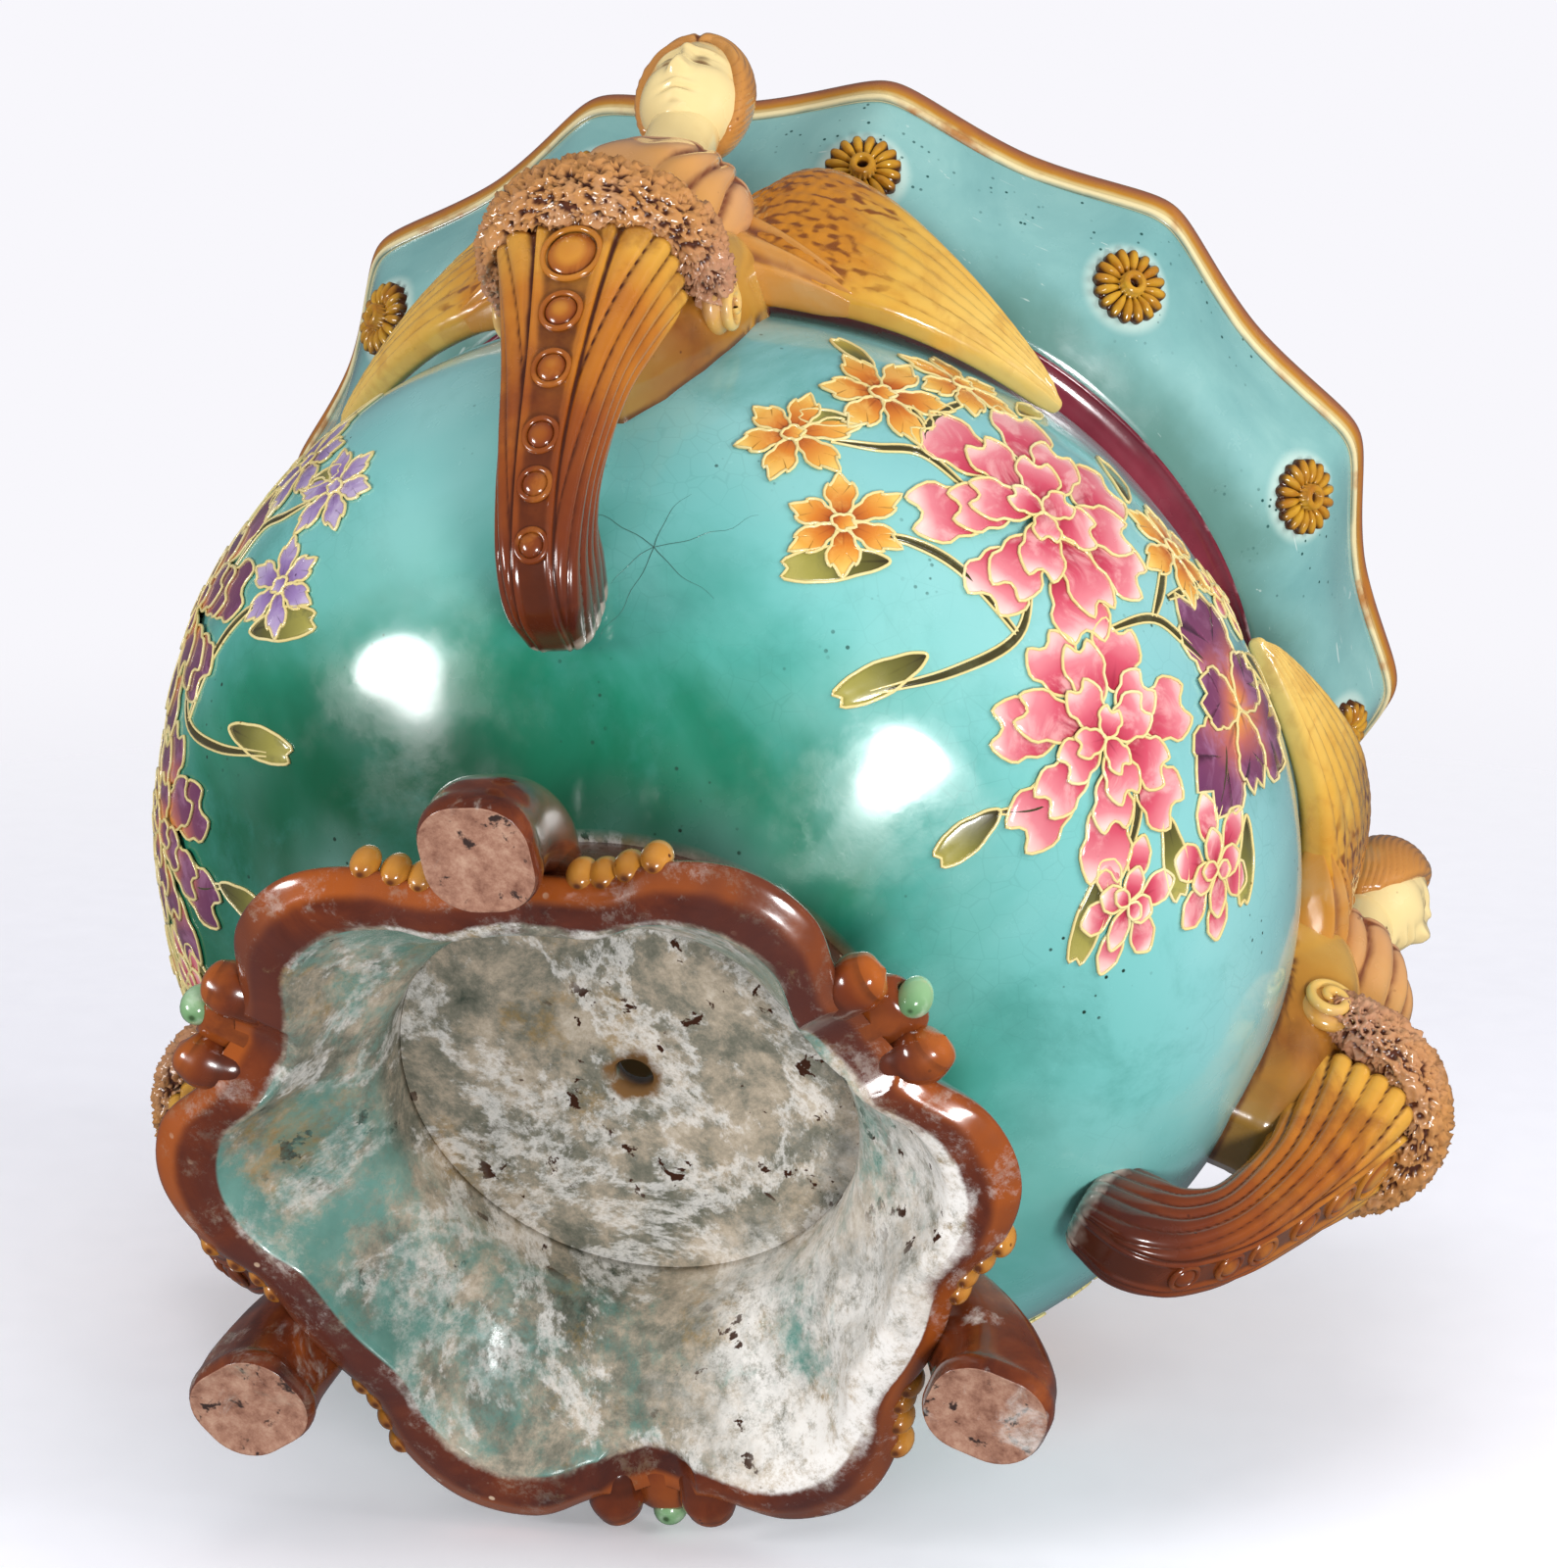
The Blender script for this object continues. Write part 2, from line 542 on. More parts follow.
# Enamels: colours from a petal's heart to its edge, colour of the pools, colour of the mottling
ENAMEL_COLOURS = {
    "rose": (
        ((0.1, (168, 36, 62)), (0.45, (202, 78, 98)), (0.75, (222, 130, 138)), (0.98, (244, 214, 204))),
        (146, 30, 56),
        (238, 184, 180),
    ),
    "orange": (
        ((0.05, (170, 78, 26)), (0.4, (210, 124, 42)), (0.8, (228, 166, 70)), (1.0, (238, 196, 104))),
        (140, 62, 22),
        (234, 182, 92),
    ),
    "violet": (
        ((0.05, (232, 150, 62)), (0.35, (186, 100, 88)), (0.6, (122, 62, 92)), (1.0, (104, 52, 88))),
        (70, 30, 56),
        (168, 116, 148),
    ),
    "lilac": (
        ((0.05, (120, 84, 140)), (0.5, (152, 124, 176)), (1.0, (190, 170, 204))),
        (84, 56, 104),
        (206, 190, 214),
    ),
    "leaf": (
        ((0.05, (66, 60, 32)), (0.45, (112, 108, 50)), (0.8, (158, 150, 72)), (1.0, (180, 170, 92))),
        (48, 40, 24),
        (92, 92, 60),
    ),
}
for colour, (stops, pool, mottle) in ENAMEL_COLOURS.items():
    enamel = pooled(f"{colour}_enamel", stops, pool, mottle, 75.0, 0.6)
    piece(f"{colour}_enamel_pools", enamels[colour], enamel, "turquoise_glaze", "bowl")
cream_slip = pooled(
    "cream_slip",
    ((0.2, (222, 196, 118)), (0.8, (240, 224, 162))),
    (150, 116, 58),
    (244, 232, 184),
)
piece("cream_slip_lines", slip_lines, cream_slip, "turquoise_glaze", "bowl")

# Hairline crack
# An old knock below the left handle left a star of fine cracks in the glaze.
# They are no deeper than the glaze itself, and dirt has darkened them.
CRACK_AT = (219, -0.054)
# Arms of the star: turn, length, bend
CRACK_ARMS = (
    (0.3, 0.036, 0.2),
    (1.5, 0.022, -0.3),
    (2.6, 0.040, 0.15),
    (3.7, 0.018, 0.3),
    (4.5, 0.034, -0.2),
    (5.5, 0.026, 0.25),
)
crack_patches = []
for turn, length, bend in CRACK_ARMS:
    far = np.linspace(0.0, length, 16)
    heading = turn + bend * far / length + 0.03 * np.sin(far * 420 + turn)
    path = on_bowl(CRACK_AT[0], far * np.cos(heading), CRACK_AT[1] + far * np.sin(heading), 0.0)
    thin = np.linspace(0.00020, 0.00006, 16)
    arm = tube(path, thin, 6, 0.5, path * np.array([1, 1, 0]))
    crack_patches.append((arm, "around", {"along": 0.0, "recess": 1.0}))
crack_dirt = pooled(
    "dark_crack",
    ((0.0, (72, 112, 104)), (1.0, (84, 120, 112))),
    (66, 104, 96),
    (92, 126, 118),
)
piece("hairline_star", crack_patches, crack_dirt, "turquoise_glaze", "bowl")

# Neck band
# A recessed clay band joins the bowl to the rim and is luted to both.
# Its maroon glaze was brushed on and stops short of its two scuffed edges.
NECK_H = 0.017
NECK_OUT = 0.004
NECK_RECESS = 0.007
NECK_WALL = 0.015
NECK_TOP_Z = SHOULDER_Z + NECK_H
NECK_TOP_R = SHOULDER_R + NECK_OUT

maroon = Glaze("maroon_glaze")
band = maroon.mark("band")
edge_wear = maroon.ease(maroon.stir(band, maroon.cloud(70, 5, 0.7), 0.5), 1.2, 1.4)
band_colour = maroon.ramp(maroon.cloud(24, 5, 0.6), (0.3, (96, 24, 38)), (0.7, (140, 52, 66)))
maroon.finish(maroon.blend(edge_wear, band_colour, (196, 176, 176)))
neck_curve = arcs([(SHOULDER_R, SHOULDER_Z, -NECK_RECESS / NECK_H), (NECK_TOP_R, NECK_TOP_Z, 0)], 16)
neck_back = np.array([[SHOULDER_R - NECK_WALL, NECK_TOP_Z], [SHOULDER_R - NECK_WALL, SHOULDER_Z]])
neck_profile = np.vstack([neck_curve, neck_back])
edge_share = np.concatenate([np.abs(np.linspace(-1, 1, len(neck_curve))), [0, 0]])
neck_patch = (turned(neck_profile), "around along", {"band": edge_share[:, None]})
piece("neck_ring", [neck_patch], maroon, "maroon_glaze", "neck_band")

# Rim flange
# The flaring clay rim is pressed over a mould, with a soft corner in the middle of each lobe. Its turquoise
# glaze has fine specks, is dull at the neck, and has bled out in a pale ring round each rosette.
LOBES = 12
LOBE_ANGLE = 2 * math.pi / LOBES
FLANGE_H = 0.061
FLANGE_R = 0.207
VALLEY = 0.012
FLANGE_WALL = 0.009
CORNER_SOFTNESS = 0.16
FLANGE_TOP_Z = NECK_TOP_Z + FLANGE_H
# Sections of the flange: share of the way up, share of the way out, share of the lobes' full depth
FLANGE_SECTIONS = ((0.0, 0.0, 0.0), (0.19, 0.4, 0.16), (0.43, 0.69, 0.42), (0.74, 0.89, 0.8), (1.0, 1.0, 1.0))


def lobe_share(angle):
    """Share of the valley's depth at an angle: none on a corner, all of it midway between two corners."""
    place = 2 * np.abs(angle / LOBE_ANGLE % 1 - 0.5)
    soft = np.sqrt(place**2 + CORNER_SOFTNESS**2) - CORNER_SOFTNESS
    soft /= math.sqrt(1 + CORNER_SOFTNESS**2) - CORNER_SOFTNESS
    return 1 - (1 - soft) ** 1.84


rim_angle = np.linspace(0, 2 * np.pi, 720, endpoint=False)
rim_lobes = lobe_share(rim_angle)


def lobed(reach, depth, height):
    """A ring of points round the rim's lobes."""
    radius = reach - depth * rim_lobes
    level = np.full(len(rim_angle), height)
    return np.stack([radius * np.cos(rim_angle), radius * np.sin(rim_angle), level], -1)


flange_rows = through(FLANGE_SECTIONS, 8)


def flange_rings(inset):
    """The rings of the flange from neck to lip, set in by a thickness."""
    rings = []
    for up, out, deep in flange_rows:
        reach = NECK_TOP_R + (FLANGE_R - NECK_TOP_R) * out - inset
        rings.append(lobed(reach, VALLEY * deep, NECK_TOP_Z + FLANGE_H * up))
    return np.array(rings)


rosette_row = int(np.argmin(np.abs(flange_rows[:, 0] - FLANGE_SECTIONS[2][0])))
ROSETTE_R = NECK_TOP_R + (FLANGE_R - NECK_TOP_R) * flange_rows[rosette_row, 1]
ROSETTE_Z = NECK_TOP_Z + FLANGE_H * flange_rows[rosette_row, 0]
flange_outside = flange_rings(0.0)
flange_grid = np.vstack([flange_outside, flange_rings(FLANGE_WALL)[::-1]])
corner_angle = (np.floor(rim_angle / LOBE_ANGLE) + 0.5) * LOBE_ANGLE
corner_x = ROSETTE_R * np.cos(corner_angle)
corner_y = ROSETTE_R * np.sin(corner_angle)
corner_point = np.stack([corner_x, corner_y, np.full(len(rim_angle), ROSETTE_Z)], -1)
halo = np.linalg.norm(flange_grid - corner_point, axis=-1)
halo[len(flange_rows) :] = 1.0
up_share = np.concatenate([flange_rows[:, 0], np.ones(len(flange_rows))])

sea_green = Glaze("rim_turquoise_glaze")
rim_colour = sea_green.ramp(
    sea_green.cloud(20, 6, 0.6, 0.4),
    (0.3, (112, 162, 160)),
    (0.55, (130, 178, 174)),
    (0.75, (148, 192, 186)),
)
shade = sea_green.stir(sea_green.mark("up"), sea_green.cloud(26, 5), 0.4)
rim_colour = sea_green.blend(sea_green.ease(shade, 0.52, 0.2), rim_colour, (96, 138, 128))
rim_colour = sea_green.blend(sea_green.ease(sea_green.mark("up"), 0.9, 0.985), rim_colour, (58, 122, 122))
ring_share = sea_green.ease(sea_green.mark("halo"), 0.0185, 0.0135)
rim_colour = sea_green.blend(sea_green.count("MULTIPLY", ring_share, 0.7), rim_colour, (206, 226, 214))
rim_colour = sea_green.specks(rim_colour, (34, 78, 74), 230, 0.17, 0.5)
scuff = sea_green.ease(sea_green.cloud(30, 3, 0.7, 2.0, 3.0, (1, 1, 6)), 0.68, 0.72)
sea_green.finish(sea_green.blend(sea_green.count("MULTIPLY", scuff, 0.5), rim_colour, (214, 226, 218)))
rim_marks = {"halo": halo, "up": up_share[:, None]}
piece("rim_flare", [(flange_grid, "around along", rim_marks)], sea_green, "turquoise_glaze", "rim_flange")

# Rolled lip
# The lip is a rolled coil of clay on the flange's edge. Its ochre glaze has a mauve-brown line on the crest,
# and a pale slip line parts it from the turquoise below.
LIP_STEPS = 4
# Section of the lip: reach out of the flange's edge, height over it, place across the stripes
LIP_SECTION = (
    (-0.0004, -0.0050, 0.0),
    (0.0012, -0.0036, 0.1),
    (0.0010, -0.0016, 0.22),
    (0.0012, 0.0006, 0.34),
    (0.0024, 0.0024, 0.5),
    (0.0022, 0.0048, 0.68),
    (0.0008, 0.0068, 0.84),
    (-0.0030, 0.0078, 0.95),
    (-0.0076, 0.0072, 1.0),
    (-0.0098, 0.0044, 1.0),
    (-0.0094, 0.0002, 1.0),
)
lip_rows = through(LIP_SECTION, LIP_STEPS)
lip_grid = np.array([lobed(FLANGE_R + out, VALLEY, FLANGE_TOP_Z + up) for out, up, _ in lip_rows])
ochre_lip = Glaze("striped_lip_glaze")
across = ochre_lip.stir(ochre_lip.mark("stripe"), ochre_lip.cloud(60, 4), 0.08)
stripe_colour = ochre_lip.ramp(
    across,
    (0.03, (96, 124, 112)),
    (0.1, (232, 216, 168)),
    (0.26, (226, 200, 132)),
    (0.36, (186, 128, 36)),
    (0.52, (150, 92, 56)),
    (0.66, (140, 84, 62)),
    (0.8, (196, 140, 44)),
    (1.0, (204, 150, 60)),
)
lip_blot = ochre_lip.ease(ochre_lip.cloud(45, 4), 0.55, 0.75)
stripe_colour = ochre_lip.blend(lip_blot, stripe_colour, (172, 106, 40))
ochre_lip.finish(stripe_colour)
lip_patch = (lip_grid, "around along", {"stripe": lip_rows[:, 2:]})
piece("lip_roll", [lip_patch], ochre_lip, "ochre_glaze", "rim_lip")

# Rosettes
# A daisy of clay, pressed in a sprig mould, is luted on to each corner of the flange.
# Its petals stand round a bored boss, and brown glaze lies between them.
PETALS = 16
ROSETTE_SIZE = 0.0135
ROSETTE_SEAT = -0.003
PETAL_H = 0.0034
BOSS_R = 0.0048
BOSS_H = 0.0062
PIT_R = 0.0019
rosette_reach = np.concatenate([np.linspace(0, BOSS_R, 12), np.linspace(BOSS_R, ROSETTE_SIZE, 18)[1:]])
rosette_angle = np.linspace(0, 2 * np.pi, PETALS * 8, endpoint=False)
petal_cross = np.abs(np.cos(rosette_angle * PETALS / 2))
reach, cross = np.meshgrid(rosette_reach, petal_cross, indexing="ij")
petal_along = np.clip((reach - BOSS_R) / (ROSETTE_SIZE - BOSS_R), 0, 1)
petal_width = np.sin(np.pi * (0.18 + 0.72 * petal_along)) ** 0.7
petal_slope = (1 - cross) / (0.15 + 0.85 * petal_width)
petal_top = PETAL_H * np.sqrt(np.clip(1 - petal_slope**2, 0, 1)) * petal_width
boss_place = np.clip(reach / BOSS_R, 0, 1)
boss_top = BOSS_H * np.sqrt(np.clip(1 - (2 * boss_place - 1.25) ** 2 / 1.6, 0, 1)) * (boss_place < 1)
boss_top = np.where(reach < PIT_R, boss_top * 0.35, boss_top)
rosette_top = np.maximum(petal_top, boss_top)
rosette_out = reach * np.where(petal_along > 0, 0.9 + 0.1 * cross, 1.0)
rosette_x = rosette_out * np.cos(rosette_angle)
rosette_y = rosette_out * np.sin(rosette_angle)
rosette_local = np.stack([rosette_x, rosette_y, rosette_top], -1)
hem = rosette_local[-1:].copy()
hem[..., 2] = ROSETTE_SEAT
rosette_local = np.vstack([rosette_local, hem])
recess = np.vstack([1 - np.clip(rosette_top / PETAL_H, 0, 1), np.ones((1, len(rosette_angle)))])
recess = np.where(np.vstack([reach, reach[-1:]]) < PIT_R, 1.0, recess)

slope = flange_outside[rosette_row + 2, 30] - flange_outside[rosette_row - 2, 30]
slope_out = math.hypot(slope[0], slope[1])
daisy_tilt = math.atan2(slope_out, slope[2])
rosettes = []
for corner in range(LOBES):
    round_pot = Matrix.Rotation((corner + 0.5) * LOBE_ANGLE, 3, "Z")
    turn = round_pot @ Matrix.Rotation(math.pi / 2 + daisy_tilt, 3, "Y")
    middle = round_pot @ Vector((ROSETTE_R, 0, ROSETTE_Z))
    rosettes.append((rosette_local @ np.array(turn).T + np.array(middle), "around", {"recess": recess}))
ochre = Glaze("ochre_glaze")
daisy_colour = ochre.ramp(ochre.cloud(120, 3), (0.3, (206, 156, 44)), (0.7, (168, 106, 26)))
ochre.finish(ochre.blend(ochre.ease(ochre.mark("recess"), 0.25, 0.8), daisy_colour, (74, 38, 14)))
piece("rim_daisies", rosettes, ochre, "ochre_glaze", "rim_rosettes")

# Stand
# The pot stands on a hollow clay skirt, luted on below the bowl and glazed brown outside and over its lip.
# Inside it is thin turquoise under a crust of dried lime, with chips where iron in the clay came through.
THROAT_R = 0.080
APRON_Z = 0.018
NOTCH_R = 0.124
APRON_LOBE = 0.022
APRON_LIP = 0.019
APRON_ROLL = 0.004
LIP_BULGE = 0.0022
SCALLOP_R = 0.021
SCALLOP_Z = 0.004
FEET = (("back", 90), ("left", 210), ("right", 330))
CLASPS = (("left", 150), ("front", 270), ("right", 30))
# Half an apron from foot to clasp: share of the half sector, share of the lobe's depth
APRON_SHARES = ((0.0, 0.0), (0.22, 0.05), (0.36, 0.62), (0.53, 1.0), (0.7, 0.86), (0.84, 0.25), (1.0, 0.0))
# Sections from lip to bowl: share of the way up, share of the way in, share of the lobes
STAND_OUTSIDE = ((0.0, 0.0, 0.9), (0.09, 0.0, 1.0), (0.27, 0.25, 0.8), (0.6, 0.72, 0.25), (1.0, 1.0, 0.0))
STAND_INSIDE = ((0.0, 0.0, 0.8), (0.27, 0.35, 0.55), (0.62, 0.93, 0.1), (1.0, 1.0, 0.0))

stand_angle = np.linspace(0, 2 * np.pi, 720, endpoint=False)
foot_place = np.abs((np.degrees(stand_angle) - FEET[0][1] + 60) % 120 - 60) / 60
apron_rows = through(APRON_SHARES, 10)
apron = np.interp(foot_place, apron_rows[:, 0], apron_rows[:, 1])
clasp_aside = np.sin((1 - foot_place) * np.pi / 3)


def stand_ring(reach, lobe, height):
    """A ring round the stand, lifted over the arch behind each clasp."""
    radius = reach + APRON_LOBE * lobe * apron
    aside = np.clip(radius * clasp_aside / SCALLOP_R, 0, 1)
    arch = SCALLOP_Z + SCALLOP_R * np.sqrt(1 - aside**2)
    level = np.maximum(height, arch)
    return np.stack([radius * np.cos(stand_angle), radius * np.sin(stand_angle), level], -1)


stand_rings = []
stand_inside = []
stand_edge = []
stand_throat = []
for up, inward, lobe in through(STAND_OUTSIDE, 8):
    rolled_in = APRON_ROLL * max(0.0, 1 - up / 0.09) ** 2
    reach_now = NOTCH_R + (FOOT_R - NOTCH_R) * inward - rolled_in
    stand_rings.append(stand_ring(reach_now, lobe, APRON_Z + (FOOT_Z - APRON_Z) * up))
    stand_inside.append(0.0)
    stand_edge.append(max(0.0, 1 - up / 0.3))
    stand_throat.append(0.0)
for up, inward, lobe in through(STAND_INSIDE, 8)[::-1]:
    reach_now = NOTCH_R - APRON_LIP + (THROAT_R - NOTCH_R + APRON_LIP) * inward
    stand_rings.append(stand_ring(reach_now, lobe, APRON_Z + (FOOT_Z - APRON_Z) * up))
    stand_inside.append(1.0)
    stand_edge.append(0.0)
    stand_throat.append(max(0.0, up - 0.4) / 0.6)
for share in np.linspace(0.06, 0.94, 10):
    reach_now = NOTCH_R - APRON_LIP + (APRON_LIP - APRON_ROLL) * share
    lip_z = APRON_Z - LIP_BULGE * math.sin(math.pi * share) ** 0.7
    stand_rings.append(stand_ring(reach_now, 0.8 + 0.1 * share, lip_z))
    stand_inside.append(max(0.0, 1 - share / 0.45))
    stand_edge.append(share**3)
    stand_throat.append(0.0)
brown_stand = Glaze("brown_stand_glaze")
brown = brown_stand.ramp(
    brown_stand.cloud(28, 6, 0.62, 0.8),
    (0.28, (54, 20, 12)),
    (0.5, (92, 38, 18)),
    (0.75, (126, 58, 24)),
)
amber_share = brown_stand.stir(brown_stand.mark("edge"), brown_stand.cloud(50, 4), 0.5)
brown = brown_stand.blend(brown_stand.ease(amber_share, 0.65, 1.25), brown, (158, 78, 24))
worn = brown_stand.ease(brown_stand.cloud(7, 4, 0.6, 0.5, 12.0), 0.42, 0.62)
brown = brown_stand.blend(brown_stand.count("MULTIPLY", worn, 0.75), brown, (80, 42, 36))
brown = brown_stand.specks(brown, (206, 178, 150), 150, 0.2, 0.56)
inner_green = brown_stand.ramp(brown_stand.cloud(22, 5, 0.6), (0.3, (58, 106, 94)), (0.7, (116, 162, 150)))
brown = brown_stand.blend(brown_stand.ease(brown_stand.mark("inside"), 0.8, 0.95), brown, inner_green)
lee = brown_stand.ease(brown_stand.toward(0.87, -0.5), 0.04, 0.13)
lime_cover = brown_stand.stir(brown_stand.cloud(15, 10, 0.75, 0.2, 8.0), lee, 0.16)
lime_cover = brown_stand.ease(lime_cover, 0.4, 0.56)
haze = brown_stand.stir(brown_stand.mark("inside"), lee, 0.75)
haze = brown_stand.stir(haze, brown_stand.mark("edge"), -0.7)
haze = brown_stand.stir(haze, brown_stand.mark("by_foot"), 0.65)
haze = brown_stand.stir(haze, brown_stand.cloud(55, 9, 0.8, 0.2, 3.0), 0.9)
lime_cover = brown_stand.count("MULTIPLY", lime_cover, brown_stand.ease(haze, 0.95, 1.3))
film = brown_stand.ease(brown_stand.cloud(40, 9, 0.8, 0.2, 9.0), 0.52, 0.64)
lime_cover = brown_stand.count("MAXIMUM", lime_cover, brown_stand.count("MULTIPLY", film, 0.3))
bank = brown_stand.count("ADD", brown_stand.mark("throat"), brown_stand.cloud(24, 10, 0.75, 0.2, 6.0))
lime_cover = brown_stand.count("MAXIMUM", lime_cover, brown_stand.ease(bank, 0.78, 1.3))
brown_stand.finish(brown_stand.lime(brown, lime_cover))
by_foot = np.exp(-((foot_place / 0.26) ** 2)) * (np.array(stand_edge)[:, None] < 0.6)
stand_marks = {
    "inside": np.array(stand_inside)[:, None],
    "edge": np.array(stand_edge)[:, None],
    "throat": np.array(stand_throat)[:, None],
    "by_foot": by_foot,
}
stand_patch = (np.array(stand_rings), "around along", stand_marks)
piece("stand_apron", [stand_patch], brown_stand, "brown_glaze", "stand_skirt")

# Feet
# Three blunt clay paws, pressed in a mould and luted on under the skirt, carry the stand.
# The brown glaze rolls over their edge, and the pads were wiped bare before firing.
FOOT_PITCH = 0.146
PAD_LONG = 0.039
PAD_WIDE = 0.036
PAD_CORNER = 0.0150
PAD_DENT = 0.0012
FOOT_H = 0.058
FOOT_LEAN = 0.042
# Sections of a foot: share of its height, size as a share of the pad, share of its lean towards the stand
FOOT_SECTIONS = (
    (0.0, 1.0, 0.0), (0.04, 1.05, 0.0), (0.09, 1.07, 0.0), (0.16, 1.04, 0.0), (0.34, 1.02, 0.04),
    (0.6, 0.98, 0.26), (0.8, 0.88, 0.56), (0.94, 0.66, 0.84), (1.0, 0.40, 0.96), (1.02, 0.0, 1.0),
)


def rounded_square(long_side, wide_side, corner, steps=10):
    """A closed outline with round corners, about its own middle."""
    quarter = np.linspace(0, np.pi / 2, steps)
    points = []
    for number, (x_side, y_side) in enumerate(((1, 1), (-1, 1), (-1, -1), (1, -1))):
        turn = quarter + number * np.pi / 2
        x_middle = x_side * (long_side / 2 - corner)
        y_middle = y_side * (wide_side / 2 - corner)
        points.append(np.column_stack([x_middle + corner * np.cos(turn), y_middle + corner * np.sin(turn)]))
    return np.vstack(points)


def spun(patches, degrees):
    """Patches made on the X axis, turned to an angle round the pot."""
    turn = np.array(Matrix.Rotation(math.radians(degrees), 3, "Z"))
    return [(grid @ turn.T, closed, numbers) for grid, closed, numbers in patches]


foot_rings = []
foot_bare = []
for share in (0.0, 0.3, 0.55, 0.75, 0.88, 0.96):
    pad = rounded_square(PAD_LONG, PAD_WIDE, PAD_CORNER) * share
    dent = PAD_DENT * (1 - share**6)
    foot_rings.append(np.column_stack([FOOT_PITCH + pad[:, 0], pad[:, 1], np.full(len(pad), dent)]))
    foot_bare.append(1.0)
for up, size, lean in through(FOOT_SECTIONS, 8):
    ring = rounded_square(PAD_LONG, PAD_WIDE, PAD_CORNER) * size
    foot_reach = FOOT_PITCH - FOOT_LEAN * lean + ring[:, 0]
    foot_rings.append(np.column_stack([foot_reach, ring[:, 1], np.full(len(ring), FOOT_H * up)]))
    foot_bare.append(0.6 if up == 0 else 0.0)
foot_patch = (np.array(foot_rings), "around", {"bare": np.array(foot_bare)[:, None]})

brown_foot = Glaze("brown_foot_glaze")
foot_colour = brown_foot.ramp(
    brown_foot.cloud(42, 5, 0.6, 0.5),
    (0.3, (58, 22, 14)),
    (0.55, (104, 46, 20)),
    (0.8, (150, 76, 30)),
)
clay = brown_foot.ramp(
    brown_foot.cloud(130, 6, 0.75),
    (0.3, (112, 68, 50)),
    (0.5, (158, 114, 92)),
    (0.7, (188, 150, 126)),
)
soot = brown_foot.ease(brown_foot.cloud(85, 6, 0.65, 0.4, 9.0), 0.58, 0.64)
clay = brown_foot.blend(soot, clay, (50, 30, 24))
bare_share = brown_foot.stir(brown_foot.mark("bare"), brown_foot.cloud(70, 6, 0.7), 0.5)
bare_share = brown_foot.ease(bare_share, 0.72, 0.8)
foot_colour = brown_foot.blend(bare_share, foot_colour, clay)
foot_lime = brown_foot.ease(brown_foot.cloud(34, 7, 0.7, 1.2, 6.0), 0.55, 0.72)
brown_foot.finish(brown_foot.lime(foot_colour, brown_foot.count("MULTIPLY", foot_lime, 0.6)), 0.4)
foot_coat = brown_foot.stir(0.75, bare_share, -0.75)
foot_dullness = brown_foot.stir(0.25, bare_share, 0.6)
brown_foot.feed(brown_foot.shader.inputs["Coat Weight"], foot_coat)
brown_foot.feed(brown_foot.shader.inputs["Roughness"], foot_dullness)
for side, degrees in FEET:
    piece(f"{side}_paw", spun([foot_patch], degrees), brown_foot, "brown_glaze", f"{side}_foot")

# Foot beads
# A short string of ribbed clay beads runs from each side of a foot along the skirt.
# They were pressed in strips, luted on and picked out in yellow glaze.
BEAD_Z = 0.027
BEAD_HALF_H = 0.0072
BEAD_R = 0.0046
BEAD_FIRST = 10.5
BEAD_STEP = 3.4


def ball(half_x, half_y, half_z, rows=12, columns=20):
    """Points of an egg about the origin, with its poles on Z."""
    rise = np.linspace(-np.pi / 2, np.pi / 2, rows)[:, None]
    turn = np.linspace(0, 2 * np.pi, columns, endpoint=False)
    flat = np.cos(rise)
    height = half_z * np.sin(rise) + 0 * turn
    return np.stack([half_x * flat * np.cos(turn), half_y * flat * np.sin(turn), height], -1)


bead_patches = []
for bead_side in (-1, 1):
    for number in range(4):
        angle = BEAD_FIRST + number * BEAD_STEP
        reach_now = NOTCH_R + APRON_LOBE * np.interp(angle / 60, apron_rows[:, 0], apron_rows[:, 1])
        bead = ball(BEAD_R, BEAD_R * 1.15, BEAD_HALF_H)
        bead[..., 0] += reach_now
        bead[..., 2] += BEAD_Z
        ridge = np.abs(np.linspace(-1, 1, 12))[:, None]
        bead_patches += spun([(bead, "around", {"along": 1 - ridge, "recess": ridge**3})], bead_side * angle)

yellow_beads = pooled(
    "yellow_bead_glaze",
    ((0.0, (150, 84, 28)), (0.6, (190, 128, 48))),
    (92, 46, 16),
    (206, 150, 72),
)
for side, degrees in FEET:
    string = spun(bead_patches, degrees)
    piece(f"{side}_ribbed_beads", string, yellow_beads, "feather_glaze", f"{side}_foot_beads")

# Clasps
# Midway between the feet a clasp of two curled clay knobs grips the skirt's lip.
# It was pressed, luted on and glazed brown, with a pit between the knobs.
CLASP_Z = 0.033
# Path of a knob: reach, place to the side, height, radius
KNOB_PATH = (
    (0.1150, 0.0135, 0.0310, 0.0056),
    (0.1205, 0.0150, 0.0284, 0.0084),
    (0.1275, 0.0160, 0.0272, 0.0096),
    (0.1335, 0.0160, 0.0272, 0.0093),
    (0.1376, 0.0154, 0.0280, 0.0068),
    (0.1400, 0.0148, 0.0288, 0.0004),
)
SADDLE_HALF_W = 0.0125
SADDLE_HALF_H = 0.0085
# Rings of the saddle: reach, share of its size, depth of the pit
SADDLE_RINGS = (
    (0.116, 0.6, 0),
    (0.120, 1.0, 0),
    (0.130, 0.98, 0),
    (0.1345, 0.9, 0),
    (0.1368, 0.74, 0),
    (0.1372, 0.55, 0.1),
    (0.1364, 0.44, 0.5),
    (0.1335, 0.38, 0.9),
    (0.1310, 0.3, 1),
    (0.1300, 0.0, 1),
)

